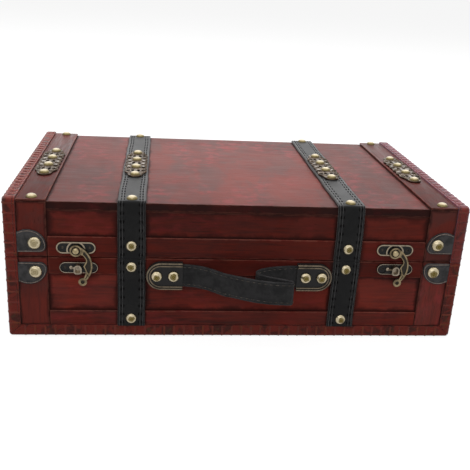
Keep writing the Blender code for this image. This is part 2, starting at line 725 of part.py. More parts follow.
def latch_plate(name, pivot_x, pivot_z, lid):
    """The lid plate: a bar with round ends, two sunk lobes for screws and a sunk middle round the rivet."""
    middle = (LATCH_SEAT + LATCH_PLATE_FACE) / 2
    centre = (0, LATCH_PLATE_LIFT)
    lobe = (LATCH_PLATE_WIDTH - LATCH_PLATE_HEIGHT) / 2
    through = LATCH_PLATE_THICKNESS + OVERRUN
    place = (pivot_x, -middle, pivot_z)
    face = (pivot_x, -LATCH_PLATE_FACE, pivot_z)
    plate = outline_solid(f"latch_plate_{name}", stadium(centre, LATCH_PLATE_WIDTH, LATCH_PLATE_HEIGHT),
                          LATCH_PLATE_THICKNESS, place, ON_FRONT)
    shape(plate, outline_solid(f"latch_plate_{name}_well", well_outline(), 2 * LATCH_POCKET_DEPTH, face,
                               ON_FRONT))
    shape(plate, rod(f"latch_plate_{name}_boss", LATCH_BOSS_RADIUS, LATCH_PLATE_THICKNESS - FIT, place,
                     ON_FRONT), 'UNION')
    for end, side in (("left", -1), ("right", 1)):
        shape(plate, outline_solid(f"latch_plate_{name}_{end}_pocket", lobe_outline(side),
                                   2 * LATCH_POCKET_DEPTH, face, ON_FRONT))
        screw = (pivot_x + side * lobe, -LATCH_PLATE_FACE, pivot_z + LATCH_PLATE_LIFT)
        shape(plate, rod(f"latch_plate_{name}_{end}_hole", LATCH_SCREW_HOLE, 2 * through, screw, ON_FRONT,
                         HOLE_SIDES))
    shape(plate, rod(f"latch_plate_{name}_bore", RIVET_RADIUS + FIT, through, place, ON_FRONT))
    part(plate, BRONZE, lid)


def latch_keeper(name, centre_x, height):
    """The base plate with a nub and the hollow post that the hook's throat closes on."""
    middle = (LATCH_SEAT + LATCH_PLATE_FACE) / 2
    lobe = KEEPER_WIDTH / 2 - KEEPER_HEIGHT / 2
    keeper = outline_solid(f"latch_keeper_{name}", stadium((0, 0), KEEPER_WIDTH, KEEPER_HEIGHT),
                           LATCH_PLATE_THICKNESS, (centre_x, -middle, height), ON_FRONT)
    for end, side in (("left", -1), ("right", 1)):
        place = (centre_x + side * lobe, -LATCH_PLATE_FACE, height)
        shape(keeper, rod(f"latch_keeper_{name}_{end}_pocket", KEEPER_HEIGHT / 2 - LATCH_RIM,
                          2 * LATCH_POCKET_DEPTH, place, ON_FRONT))
        shape(keeper, rod(f"latch_keeper_{name}_{end}_hole", LATCH_SCREW_HOLE,
                          2 * (LATCH_PLATE_THICKNESS + OVERRUN), place, ON_FRONT, HOLE_SIDES))
    post_x = centre_x - POST_SIDE_SHIFT
    post_back = -middle
    post_front = -LATCH_PLATE_FACE - POST_REACH
    post = outline_solid(f"latch_keeper_{name}_post", post_outline(POST_WIDTH, POST_HEIGHT),
                         post_back - post_front, (post_x, (post_back + post_front) / 2, height), ON_FRONT)
    bore = outline_solid(f"latch_keeper_{name}_post_bore",
                         post_outline(POST_WIDTH - 2 * POST_WALL, POST_HEIGHT - 2 * POST_WALL),
                         2 * POST_BORE_DEPTH, (post_x, post_front, height), ON_FRONT)
    rib_right = post_x - POST_WIDTH / 2 + FIT
    rib_left = rib_right - KEEPER_RIB_LENGTH
    rib_rise = KEEPER_RIB_HEIGHT / 2
    rib = block(f"latch_keeper_{name}_rib",
                (rib_left, -LATCH_PLATE_FACE - KEEPER_RIB_PROUD, height - rib_rise),
                (rib_right, post_back, height + rib_rise))
    shape(keeper, rib, 'UNION')
    nub = (rib_left, -LATCH_PLATE_FACE, height)
    shape(keeper, tack(f"latch_keeper_{name}_nub", KEEPER_NUB_RADIUS, nub, ON_FRONT, KEEPER_NUB_HEIGHT),
          'UNION')
    shape(keeper, post, 'UNION')
    shape(keeper, bore)
    part(keeper, BRONZE)


def post_outline(width, height):
    """An arch: round at the top, with small round corners at the foot."""
    radius = width / 2
    corner = width * POST_CORNER_SHARE
    crown = arc((0, height / 2 - radius), radius, 0, 180, TURN_STEPS // 2)
    left = arc((corner - radius, corner - height / 2), corner, 180, 270, CURVE_STEPS // 2)
    right = arc((radius - corner, corner - height / 2), corner, 270, 360, CURVE_STEPS // 2)
    return crown + left + right


def scaled(shares, size):
    return [(across * size, up * size) for across, up in shares]


def about_bow(turns):
    """Points from (angle, share of the drop) pairs about the centre of the hook's bow."""
    centre = scaled([HOOK_BOW_CENTRE_SHARES], HOOK_DROP)[0]
    return [arc(centre, share * HOOK_DROP, angle, angle, 1)[0] for angle, share in turns]


def hook_hollow_outline():
    """The sunk middle of the arm, inside an even rim along the bow and widest behind the nose."""
    centre = scaled([HOOK_BOW_CENTRE_SHARES], HOOK_DROP)[0]
    outer = arc(centre, HOOK_BOW_RADIUS_SHARE * HOOK_DROP - HOOK_RIM, 46, -24, TURN_STEPS)
    return outer + smooth_run(about_bow(HOOK_HOLLOW_SHARES), CURVE_STEPS // 2)


def hook_arm_outline():
    """The bowed arm: one arc outside, and a throat and a neck that meet at the nose inside."""
    centre = scaled([HOOK_BOW_CENTRE_SHARES], HOOK_DROP)[0]
    back = arc(centre, HOOK_BOW_RADIUS_SHARE * HOOK_DROP, 62, -42, TURN_STEPS)
    throat = smooth_run(scaled(HOOK_THROAT_SHARES, HOOK_DROP), CURVE_STEPS // 2)
    neck = smooth_run(scaled(HOOK_NECK_SHARES, HOOK_DROP), CURVE_STEPS // 2)
    return back + throat + neck[1:]


def latch_hook(name, pivot_x, pivot_z, lid):
    """The hook, with its origin on the rivet's axis."""
    middle = (HOOK_BACK + HOOK_FACE) / 2
    place = (pivot_x, -middle, pivot_z)
    face = (pivot_x, -HOOK_FACE, pivot_z)
    tip = Vector((HOOK_TIP_SHARES[0] * HOOK_DROP, 0, HOOK_TIP_SHARES[1] * HOOK_DROP)) + Vector(place)
    hook = rod(f"latch_hook_{name}", HOOK_RING_RADIUS, HOOK_THICKNESS, place, ON_FRONT, TURN_STEPS + 4)
    arm = outline_solid(f"latch_hook_{name}_arm", hook_arm_outline(), HOOK_THICKNESS - 2 * HOOK_ARM_RELIEF,
                        place, ON_FRONT)
    shape(hook, arm, 'UNION')
    shape(hook, rod(f"latch_hook_{name}_tip", HOOK_TIP_RADIUS, HOOK_THICKNESS, tip, ON_FRONT), 'UNION')
    shape(hook, rod(f"latch_hook_{name}_bore", RIVET_RADIUS + FIT, HOOK_THICKNESS + OVERRUN, place,
                    ON_FRONT))
    dimple = (tip.x, -HOOK_FACE, tip.z)
    shape(hook, rod(f"latch_hook_{name}_dimple", HOOK_TIP_DIMPLE, HOOK_THICKNESS, dimple, ON_FRONT,
                    HOLE_SIDES))
    depth = 2 * HOOK_HOLLOW_DEPTH
    shape(hook, rod(f"latch_hook_{name}_well", HOOK_RING_RADIUS - HOOK_RIM, depth, face, ON_FRONT))
    shape(hook, outline_solid(f"latch_hook_{name}_hollow", hook_hollow_outline(), depth, face, ON_FRONT))
    shape(hook, outline_solid(f"latch_hook_{name}_fork", ribbon(about_bow(HOOK_FORK_SHARES), HOOK_FORK_GAP),
                              depth, face, ON_FRONT))
    part(hook, BRONZE, lid)


def latch_rivet(name, pivot_x, pivot_z, lid):
    """A shank through the plate and the hook, with a dome head over the hook."""
    head = HOOK_FACE + FIT - LATCH_SEAT
    crown = dome(RIVET_HEAD_RADIUS, RIVET_HEAD_HEIGHT, head)
    profile = crown + [(RIVET_RADIUS, head), (RIVET_RADIUS, 0), (0, 0)]
    part(turned(f"latch_rivet_{name}", profile, (pivot_x, -LATCH_SEAT, pivot_z), ON_FRONT), BRASS, lid)


def latches(lid):
    for name, side, lift in (("left", -1, 0), ("right", 1, RIGHT_LATCH_LIFT)):
        centre_x = side * LATCH_X
        pivot_x = centre_x - PIVOT_SIDE_SHIFT
        pivot_z = PIVOT_Z + lift
        latch_plate(name, pivot_x, pivot_z, lid)
        latch_keeper(name, centre_x, KEEPER_Z + lift)
        latch_hook(name, pivot_x, pivot_z, lid)
        latch_rivet(name, pivot_x, pivot_z, lid)


# Strap handle, its caps and rivets

def cap_outline(side, inset):
    """A tongue with a round outer end and an open mouth towards the middle."""
    radius = CAP_HEIGHT / 2 - inset
    middle = CAP_LENGTH - CAP_HEIGHT / 2
    mouth = -OVERRUN if inset else 0
    points = [(mouth, -radius)] + arc((middle, 0), radius, -90, 90, TURN_STEPS) + [(mouth, radius)]
    return [(side * across, up) for across, up in points]


def handle_cap(name, side):
    """A stamped cap: a raised edge and a ridge inside it follow the tongue round to the mouth."""
    mouth = side * HANDLE_SPAN / 2
    cap = outline_solid(f"handle_cap_{name}", cap_outline(side, 0), CAP_DEPTH,
                        (mouth, -CAP_SEAT - CAP_DEPTH / 2, HANDLE_HEIGHT_AT), ON_FRONT)
    soften(cap, CAP_ROUND, 2)
    pocket_depth = HANDLE_THICKNESS + 2 * FIT
    pocket = outline_solid(f"handle_cap_{name}_pocket", cap_outline(side, CAP_WALL), 2 * pocket_depth,
                           (mouth, -CAP_SEAT, HANDLE_HEIGHT_AT), ON_FRONT)
    face = (mouth, -CAP_SEAT - CAP_DEPTH, HANDLE_HEIGHT_AT)
    ridge = CAP_EDGE + CAP_GROOVE
    track = cap_outline(side, CAP_EDGE) + cap_outline(side, ridge)[::-1]
    groove = outline_solid(f"handle_cap_{name}_groove", track, 2 * CAP_RECESS, face, ON_FRONT)
    recess = outline_solid(f"handle_cap_{name}_recess", cap_outline(side, ridge + CAP_RIDGE), 2 * CAP_RECESS,
                           face, ON_FRONT)
    shape(cap, pocket)
    shape(cap, groove)
    shape(cap, recess)
    for index in range(2):
        across = mouth + side * (CAP_RIVET_FROM_MOUTH + index * CAP_RIVET_PITCH)
        shape(cap, rod(f"handle_cap_{name}_bore_{index + 1}", CAP_RIVET_RADIUS + FIT,
                       2 * (CAP_DEPTH + OVERRUN), (across, -CAP_SEAT, HANDLE_HEIGHT_AT), ON_FRONT,
                       HOLE_SIDES))
    part(cap, BRONZE)


def handle_rivet(name, side, index):
    across = side * (HANDLE_SPAN / 2 + CAP_RIVET_FROM_MOUTH + index * CAP_RIVET_PITCH)
    head = CAP_DEPTH - CAP_RECESS + FIT
    crown = dome(CAP_RIVET_HEAD_RADIUS, CAP_RIVET_HEAD_HEIGHT, head)
    profile = crown + [(CAP_RIVET_RADIUS, head), (CAP_RIVET_RADIUS, 0), (0, 0)]
    place = (across, -CAP_SEAT, HANDLE_HEIGHT_AT)
    part(turned(f"handle_rivet_{name}_{('inner', 'outer')[index]}", profile, place, ON_FRONT), BRASS)


def handle_place(shares):
    return (shares[0] * HANDLE_SPAN / 2, -HANDLE_SEAT - shares[1] * HANDLE_BOW)


def handle_route():
    """Seen from above: in from the right cap, back out to the tight fold, then across to the left cap."""
    end = HANDLE_SPAN / 2 + CAP_LENGTH - CAP_WALL - FIT
    fold = arc(handle_place(HANDLE_FOLD_SHARES), HANDLE_FOLD_RADIUS, 65, -94, TURN_STEPS // 2)
    back = smooth_run([handle_place(shares) for shares in HANDLE_BACK_SHARES] + fold[:1])
    front = smooth_run(fold[-1:] + [handle_place(shares) for shares in HANDLE_FRONT_SHARES])
    return [(end, -HANDLE_SEAT)] + back + fold[1:-1] + front + [(-end, -HANDLE_SEAT)]


def handle_strap():
    """The strap stands on edge, doubles back on itself twice in front of the case and hangs a little."""
    span = HANDLE_SPAN / 2
    end = span + CAP_LENGTH - CAP_WALL - FIT
    strap = outline_solid("handle_strap", ribbon(handle_route(), HANDLE_THICKNESS),
                          HANDLE_WIDTH + 2 * OVERRUN, (0, 0, HANDLE_HEIGHT_AT))
    reach = HANDLE_BOW + HANDLE_SEAT
    shape(strap, outline_solid("handle_strap_ends", stadium((0, 0), 2 * end, HANDLE_WIDTH), 2 * reach,
                               (0, -reach, HANDLE_HEIGHT_AT), ON_FRONT), 'INTERSECT')
    for corner in strap.data.vertices:
        corner.co.z += (corner.co.y + HANDLE_SEAT) * HANDLE_SAG_SHARE
    for side in (-1, 1):
        for index in range(2):
            across = side * (span + CAP_RIVET_FROM_MOUTH + index * CAP_RIVET_PITCH)
            shape(strap, rod(f"handle_strap_bore_{side + 1}{index + 1}", CAP_RIVET_RADIUS + FIT,
                             2 * (CAP_DEPTH + OVERRUN), (across, -CAP_SEAT, HANDLE_HEIGHT_AT), ON_FRONT,
                             HOLE_SIDES))
    part(strap, BLACK_LEATHER)


def handle():
    handle_strap()
    for name, side in (("left", -1), ("right", 1)):
        handle_cap(name, side)
        for index in range(2):
            handle_rivet(name, side, index)


# Butt hinges

def hinge_leaf(node, centre_x, up, segments, body=None):
    """A leaf on the back board, with rolled knuckles on the given thirds of its width."""
    seat = BOARD_Y + FIT
    half = HINGE_WIDTH / 2
    plate = block(node, (centre_x - half, seat, HINGE_Z + up * HINGE_LEAF_RELIEF),
                  (centre_x + half, seat + HINGE_LEAF_THICKNESS, HINGE_Z + up * HINGE_LEAF_HEIGHT))
    third = HINGE_WIDTH / 3
    for segment in segments:
        left = centre_x - HINGE_WIDTH / 2 + segment * third + FIT / 2
        right = left + third - FIT
        web = block(f"{node}_web_{segment}",
                    (left, seat + HINGE_LEAF_THICKNESS / 2, HINGE_Z + up * HINGE_KNUCKLE_RADIUS),
                    (right, HINGE_Y, HINGE_Z + up * (HINGE_KNUCKLE_RADIUS - HINGE_LEAF_THICKNESS)))
        knuckle = rod(f"{node}_knuckle_{segment}", HINGE_KNUCKLE_RADIUS, right - left,
                      ((left + right) / 2, HINGE_Y, HINGE_Z), ALONG_X)
        shape(plate, web, 'UNION')
        shape(plate, knuckle, 'UNION')
    shape(plate, rod(f"{node}_bore", HINGE_PIN_RADIUS + FIT, HINGE_WIDTH + OVERRUN,
                     (centre_x, HINGE_Y, HINGE_Z), ALONG_X))
    part(plate, BRONZE, body)


def hinge_pin(node, centre_x):
    half = HINGE_WIDTH / 2 + FIT
    tip = half + HINGE_PIN_HEAD_HEIGHT
    upper = [(0, tip), (HINGE_PIN_HEAD_RADIUS, tip), (HINGE_PIN_HEAD_RADIUS, half), (HINGE_PIN_RADIUS, half)]
    profile = upper + [(radius, -height) for radius, height in upper[::-1]]
    part(turned(node, profile, (centre_x, HINGE_Y, HINGE_Z), ALONG_X), BRONZE)


def hinges(lid):
    for name, side in (("left", -1), ("right", 1)):
        centre_x = side * HINGE_SPACING / 2
        hinge_leaf(f"hinge_base_leaf_{name}", centre_x, -1, (0, 2))
        hinge_leaf(f"hinge_lid_leaf_{name}", centre_x, 1, (1,), lid)
        hinge_pin(f"hinge_pin_{name}", centre_x)


def build():
    lid = pivot("lid_pivot", (0, HINGE_Y, HINGE_Z))
    base_boards()
    base_slats()
    base_edging()
    lid_boards(lid)
    lid_slats(lid)
    lid_edging(lid)
    straps(lid)
    corner_patches(lid)
    ornaments(lid)
    latches(lid)
    handle()
    hinges(lid)


build()
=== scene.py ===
"""Looks for the wooden suitcase box: stained wood, embossed edging, black straps, bronze latches, brass tacks.

Metres, +Z up, the front looks along -Y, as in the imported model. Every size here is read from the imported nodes
or named once below. Colours are red, green and blue in linear light.
"""

import math

import bmesh
import bpy
from mathutils import Matrix, Vector


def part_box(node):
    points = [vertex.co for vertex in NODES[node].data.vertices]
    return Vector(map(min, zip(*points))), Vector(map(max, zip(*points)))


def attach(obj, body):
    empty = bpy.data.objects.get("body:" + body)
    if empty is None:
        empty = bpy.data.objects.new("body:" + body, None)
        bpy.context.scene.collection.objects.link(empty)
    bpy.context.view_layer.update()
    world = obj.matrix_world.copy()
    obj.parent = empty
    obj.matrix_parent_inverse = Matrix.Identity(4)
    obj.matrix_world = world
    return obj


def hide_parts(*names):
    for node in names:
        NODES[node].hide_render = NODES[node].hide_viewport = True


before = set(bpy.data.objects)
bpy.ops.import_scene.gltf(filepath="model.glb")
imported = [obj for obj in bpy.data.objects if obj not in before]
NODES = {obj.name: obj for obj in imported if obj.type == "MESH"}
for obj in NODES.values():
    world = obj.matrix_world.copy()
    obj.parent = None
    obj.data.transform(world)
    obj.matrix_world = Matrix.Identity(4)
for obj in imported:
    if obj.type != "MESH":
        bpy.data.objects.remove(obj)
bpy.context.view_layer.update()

# Sizes of the thin pieces that are drawn anew
GAP = 0.0003
STRAP_THICKNESS = 0.0018
STRAP_WIDTH = 0.020
PATCH_THICKNESS = 0.0013
KEEPER_THICKNESS = 0.0013
TACK_RADIUS = 0.004
TACK_HEIGHT = 0.0022
SLAT_THICKNESS = 0.0016
SLAT_SOFTENING = 0.0004
ORNAMENT_THICKNESS = 0.0011
EDGING_WIDTH = 0.009
EDGING_ROUND = 0.0025
HANDLE_WIDTH = 0.0178
HANDLE_THICKNESS = 0.0022
SIDES = (("left", -1), ("right", 1))


def middle_of(node):
    low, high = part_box(node)
    return (low + high) / 2


# Planes and lines of the case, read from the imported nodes
TOP_BOARD, LID_RAIL, BASE_RAIL = (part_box(node) for node in ("lid_top_board", "lid_rail", "base_upper_rail"))
TOP_Z = TOP_BOARD[1].z
BOARD_Y = TOP_BOARD[1].y
SLAT_FACE = -LID_RAIL[0].y
LID_FLOOR = LID_RAIL[0].z
BASE_TOP = BASE_RAIL[1].z
STRAP_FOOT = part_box("base_strap_left")[0].z
STRAP_X = middle_of("base_strap_right").x
STRIP_X = middle_of("top_strip_right").x
STRAP_FACE = SLAT_FACE + GAP + STRAP_THICKNESS
STRIP_TOP = TOP_Z + GAP + SLAT_THICKNESS
STRAP_TOP = TOP_Z + GAP + STRAP_THICKNESS
HALF_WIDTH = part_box("base_edging_right")[1].x
HALF_DEPTH = -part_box("base_edging_front")[0].y
CASE_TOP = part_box("lid_edging_right")[1].z
FAR = 1.0


# Drawing node trees

class Wire:
    """An output of a node tree. Sums, differences and products of wires draw Math nodes."""

    def __init__(self, net, socket):
        self.net, self.socket = net, socket

    def __add__(self, other):
        return self.net.maths("ADD", self, other)

    def __sub__(self, other):
        return self.net.maths("SUBTRACT", self, other)

    def __rsub__(self, other):
        return self.net.maths("SUBTRACT", other, self)

    def __mul__(self, other):
        return self.net.maths("MULTIPLY", self, other)

    def __abs__(self):
        return self.net.maths("ABSOLUTE", self)


class Net:
    """A node tree that is being drawn."""

    def __init__(self, tree):
        self.tree = tree

    def feed(self, made, inputs):
        """Links inputs of a node, or sets constants on them. They are given in order, or by name or number."""
        for key, value in inputs.items() if isinstance(inputs, dict) else enumerate(inputs):
            if isinstance(value, Wire):
                self.tree.links.new(value.socket, made.inputs[key])
            else:
                made.inputs[key].default_value = value

    def node(self, kind, inputs=(), **settings):
        made = self.tree.nodes.new(kind)
        for name, value in settings.items():
            setattr(made, name, value)
        self.feed(made, inputs)
        return made

    def wire(self, kind, inputs=(), output=0, **settings):
        """One output of a new node."""
        return Wire(self, self.node(kind, inputs, **settings).outputs[output])

    def maths(self, operation, *values, clamp=False):
        return self.wire("ShaderNodeMath", values, operation=operation, use_clamp=clamp)

    def vector(self, operation, *values):
        return self.wire("ShaderNodeVectorMath", values, 1 if operation == "LENGTH" else 0, operation=operation)

    def split(self, vector):
        """The X, Y and Z of a vector."""
        return [Wire(self, part) for part in self.node("ShaderNodeSeparateXYZ", (vector,)).outputs]

    def moved(self, vector, x=0.0, y=0.0, z=0.0):
        return self.vector("ADD", vector, self.wire("ShaderNodeCombineXYZ", (x, y, z)))

    def noise(self, vector, scale, detail=3.0, roughness=0.55, distortion=0.0):
        return self.wire("ShaderNodeTexNoise", {"Vector": vector, "Scale": scale, "Detail": detail,
                                                "Roughness": roughness, "Distortion": distortion})

    def cells(self, vector, scale):
        return self.wire("ShaderNodeTexVoronoi", {"Vector": vector, "Scale": scale, "Randomness": 1.0}, "Distance",
                         feature="SMOOTH_F1")

    def spread(self, value, low, high, to_low=0.0, to_high=1.0):
        """A value stretched from one range to another, smoothed and held inside it."""
        return self.wire("ShaderNodeMapRange", (value, low, high, to_low, to_high),
                         interpolation_type="SMOOTHSTEP")

    def mix(self, share, first, second):
        """A mix of two colours."""
        first, second = (end if isinstance(end, Wire) else (*end, 1) for end in (first, second))
        return self.wire("ShaderNodeMix", {"Factor": share, 6: first, 7: second}, 2, data_type="RGBA")

    def layered(self, body, *layers):
        """Colours laid over a body in turn, each by its share."""
        for share, colour in layers:
            body = self.mix(share, body, colour)
        return body

    def give(self, **results):
        """Feeds the outputs of a group, and gives its tree."""
        self.feed(self.results, results)
        return self.tree


VECTOR, FLOAT, COLOUR, WHOLE, GEOMETRY, OBJECT, MATERIAL = (
    f"NodeSocket{kind}" for kind in ("Vector", "Float", "Color", "Int", "Geometry", "Object", "Material"))
FINISH = {"Colour": COLOUR, "Roughness": FLOAT, "Height": FLOAT}
BOX = {"Vector": VECTOR, "Centre": VECTOR, "Half Size": VECTOR}


def group(name, inputs, outputs, kind="ShaderNodeTree"):
    """A node group: its net, and its inputs by name. An input is given by its first value or its kind of socket."""
    tree = bpy.data.node_groups.new(name, kind)
    for label, value in inputs.items():
        given = value if isinstance(value, str) else FLOAT if isinstance(value, float) else VECTOR
        socket = tree.interface.new_socket(name=label, in_out="INPUT", socket_type=given)
        if given is not value:
            socket.default_value = value
    for label, given in outputs.items():
        tree.interface.new_socket(name=label, in_out="OUTPUT", socket_type=given)
    net = Net(tree)
    net.results = net.node("NodeGroupOutput")
    return net, {socket.name: Wire(net, socket) for socket in net.node("NodeGroupInput").outputs}


def room_inside(net, given):
    """How far a point lies inside the sides of a box, along each axis."""
    offset = net.vector("ABSOLUTE", net.vector("SUBTRACT", given["Vector"], given["Centre"]))
    return net.split(net.vector("SUBTRACT", given["Half Size"], offset))


def box_edge_group():
    """How close a point on a box's face is to the nearest edge of the box: one at the edge, nought inside."""
    net, given = group("box_edge", {**BOX, "Width": 0.001}, {"Edge": FLOAT})
    across, along, up = room_inside(net, given)
    low, high = net.maths("MINIMUM", across, along), net.maths("MAXIMUM", across, along)
    middle = net.maths("MAXIMUM", low, net.maths("MINIMUM", high, up))
    return net.give(Edge=net.spread(middle, given["Width"], 0.0))


BOX_EDGE = box_edge_group()
SKIN_OF_STAIN_AND_SHADE = (0.0006, 0.0010)


def border_group():
    """Dark stain and painted shade where a panel meets its frame and along both sides of the straps, on outer faces.
    """
    net, given = group("gathered_stain_and_painted_shade", {**BOX, "Reach": 0.006, "Strap Place": STRAP_X}, {"Shade": FLOAT})
    across, along, up = room_inside(net, given)
    x, y, z = net.split(given["Vector"])
    beside = abs(abs(x) - given["Strap Place"]) - STRAP_WIDTH / 2
    below_top = net.spread(z, *(TOP_Z - depth for depth in SKIN_OF_STAIN_AND_SHADE))
    behind_front = net.spread(y, *(depth - BOARD_Y for depth in SKIN_OF_STAIN_AND_SHADE))
    nearest = net.maths("MINIMUM", across, net.maths("MINIMUM", along, up))
    nearest = net.maths("MINIMUM", nearest, beside) + below_top * behind_front
    reach = given["Reach"] * net.spread(net.noise(given["Vector"], 70.0, 4.0), 0.3, 0.7, 0.35, 1.5)
    return net.give(Shade=net.spread(nearest, reach, 0.0))


BORDER_STAIN_AND_SHADE = border_group()


def wood_group():
    """Red stain over fine grain, with darker streaks, haze, flecks, open pores and rubbed edges."""
    net, given = group("stained_wood_finish", {
        **BOX, "Grain": (1, 1, 1), "Clouds": (1, 1, 1), "Seed": 0.0, "Wear": 1.0, "Contrast": 1.0, "Shade": 0.0,
        "Tone": 1.0, "Flecks": 0.3, "Haze": 0.35}, FINISH)
    seed = given["Seed"]
    moved = net.moved(given["Vector"], seed, seed, seed)
    along = net.vector("MULTIPLY", moved, given["Grain"])
    clouded = net.vector("MULTIPLY", moved, given["Clouds"])
    fibre = net.noise(along, 640.0, 4.0, 0.6, 0.15)
    streak = net.noise(along, 150.0, 5.0, 0.62, 0.25)
    band = net.noise(along, 42.0, 3.0, 0.55, 0.3)
    blotch = net.noise(moved, 34.0, 4.0, 0.58, 0.3)
    cloud = net.noise(clouded, 11.0, 2.0, 0.5)
    pores = net.spread(net.noise(along, 1900.0, 2.0, 0.5), 0.34, 0.26)
    haze = net.spread(net.noise(clouded, 24.0, 4.0, 0.6, 0.5), 0.42, 0.62, 0.45, 1.0)
    wisp = net.vector("MULTIPLY", clouded, net.vector("ADD", given["Grain"], (0.30, 0.30, 0.30)))
    fleck = net.spread(net.noise(wisp, 170.0, 5.0, 0.65, 0.25), 0.42, 0.72)
    patch = net.spread(net.noise(clouded, 19.0, 2.0, 0.5), 0.46, 0.60)
    dark, mid, red = (0.050, 0.0150, 0.0130), (0.180, 0.0260, 0.0190), (0.330, 0.0400, 0.0230)
    body = net.layered(
        net.mix(net.spread(streak, 0.34, 0.60), dark, mid),
        (net.spread(band, 0.40, 0.66, 0.0, 0.75), red), (net.spread(blotch, 0.52, 0.34, 0.0, 0.45), dark),
        (net.spread(fibre, 0.45, 0.70, 0.0, 0.45), red), (net.spread(fibre, 0.50, 0.30, 0.0, 0.55), dark))
    body = net.layered(
        net.mix(given["Contrast"], (0.195, 0.0300, 0.0220), body), (net.spread(cloud, 0.45, 0.62) * 0.45, red),
        (haze * given["Haze"], (0.120, 0.047, 0.041)), (fleck * patch * given["Flecks"], (0.420, 0.050, 0.055)))
    body = net.wire("ShaderNodeVectorMath", {0: body, "Scale": given["Tone"]}, operation="SCALE")
    width = net.spread(net.noise(moved, 160.0, 3.0), 0.35, 0.65, 0.0003, 0.0015)
    edge = net.wire("ShaderNodeGroup", {**{name: given[name] for name in BOX}, "Width": width}, node_tree=BOX_EDGE)
    # Pores, then stain and painted shade where the Shade input asks, then rubbed edges.
    body = net.layered(
        body, (pores * 0.40, (0.030, 0.012, 0.010)), (given["Shade"] * 0.82, (0.026, 0.014, 0.013)),
        (edge * given["Wear"] * 0.45, (0.42, 0.145, 0.105)))
    return net.give(Colour=body, Roughness=net.spread(fibre, 0.3, 0.7, 0.36, 0.50) + given["Shade"] * 0.12,
                    Height=fibre * 0.35 + pores * -0.5 + streak * 0.5)


def leather_group():
    """Black leather: fine pebbles, creases, scuffs and a lighter worn edge."""
    net, given = group("black_leather_finish", {"Vector": VECTOR, "Edge": 0.0, "Seed": 0.0}, FINISH)
    moved = net.moved(given["Vector"], given["Seed"])
    pebble = net.cells(moved, 1300.0)
    crease = net.noise(moved, 240.0, 4.0, 0.6, 0.6)
    scuff = net.noise(moved, 55.0, 5.0, 0.62)
    rubbed = given["Edge"] * net.spread(net.noise(moved, 180.0, 4.0), 0.3, 0.62, 0.35, 1.0)
    body = net.layered(
        net.mix(net.spread(scuff, 0.42, 0.70), (0.008, 0.008, 0.0085), (0.024, 0.024, 0.024)),
        (net.spread(pebble, 0.25, 0.75, 0.0, 0.35), (0.004, 0.004, 0.004)), (rubbed, (0.186, 0.180, 0.184)))
    return net.give(Colour=body, Roughness=net.spread(scuff, 0.3, 0.7, 0.42, 0.56),
                    Height=pebble * -0.7 + crease * 0.9)


def metal_group():
    """Aged metal: tarnish in the low places, rubbed bright where it stands proud, with small dents. On the tacks the
    same input also lays on painted dark reflections.
    """
    net, given = group("aged_metal_finish", {"Vector": VECTOR, "Bright": COLOUR, "Tarnish": COLOUR, "Proud And Lit": 1.0,
                                             "Age": 0.5, "Seed": 0.0}, FINISH)
    moved = net.moved(given["Vector"], 0.0, given["Seed"])
    patina = net.noise(moved, 260.0, 5.0, 0.62, 0.3)
    fine = net.noise(moved, 1500.0, 3.0, 0.6)
    aged = net.spread(patina, 0.40, 0.66) * given["Age"]
    dark = net.maths("MAXIMUM", aged, net.maths("SUBTRACT", 1.0, given["Proud And Lit"], clamp=True))
    dark = net.maths("ADD", dark, net.spread(fine, 0.56, 0.75, 0.0, 0.25), clamp=True)
    return net.give(Colour=net.mix(dark, given["Bright"], given["Tarnish"]),
                    Roughness=net.spread(dark, 0.0, 1.0, 0.24, 0.52),
                    Height=patina * 0.5 + fine * 0.25 + net.cells(moved, 420.0) * 0.2)


def edging_group():
    """Embossed red edging with darker and gilt blotches, warmer on its ribs."""
    net, given = group("embossed_edging_finish", {"Vector": VECTOR, "Rib": 0.0, "Seed": 0.0}, FINISH)
    moved = net.moved(given["Vector"], 0.0, 0.0, given["Seed"])
    blotch = net.noise(moved, 105.0, 4.0, 0.6, 0.5)
    gilt = net.noise(moved, 160.0, 3.0, 0.55, 0.4)
    grain = net.noise(moved, 700.0, 4.0, 0.6)
    warm = net.mix(net.spread(gilt, 0.42, 0.62), (0.340, 0.088, 0.072), (0.400, 0.110, 0.050))
    body = net.layered(
        net.mix(net.spread(blotch, 0.36, 0.54), (0.120, 0.0300, 0.0230), (0.320, 0.0500, 0.0360)),
        (net.spread(gilt, 0.56, 0.70, 0.0, 0.60), (0.130, 0.075, 0.035)),
        (net.spread(grain, 0.5, 0.75, 0.0, 0.40), (0.045, 0.016, 0.013)), (given["Rib"] * 0.60, warm))
    return net.give(Colour=body, Roughness=net.spread(blotch, 0.3, 0.7, 0.34, 0.52), Height=grain * 0.5 + blotch)


WOOD, LEATHER, METAL, EDGED = wood_group(), leather_group(), metal_group(), edging_group()


# Materials

SHADER_INPUTS = {"specular": "Specular IOR Level", "metallic": "Metallic", "sheen": "Sheen Weight",
                 "tint": "Sheen Tint"}


class Paint(Net):
    """A material that is being drawn, with its shader and its object coordinates."""

    def __init__(self, name, **constants):
        self.material = bpy.data.materials.new(name)
        self.material.use_nodes = True
        super().__init__(self.material.node_tree)
        self.shader = self.tree.nodes["Principled BSDF"]
        self.feed(self.shader, {SHADER_INPUTS[label]: value for label, value in constants.items()})
        self.place = self.wire("ShaderNodeTexCoord", output="Object")

    def cover(self, colour, roughness, height, depth):
        relief = self.wire("ShaderNodeBump", {"Strength": 1.0, "Distance": depth, "Height": height})
        self.feed(self.shader, {"Base Color": colour, "Roughness": roughness, "Normal": relief})
        return self.material


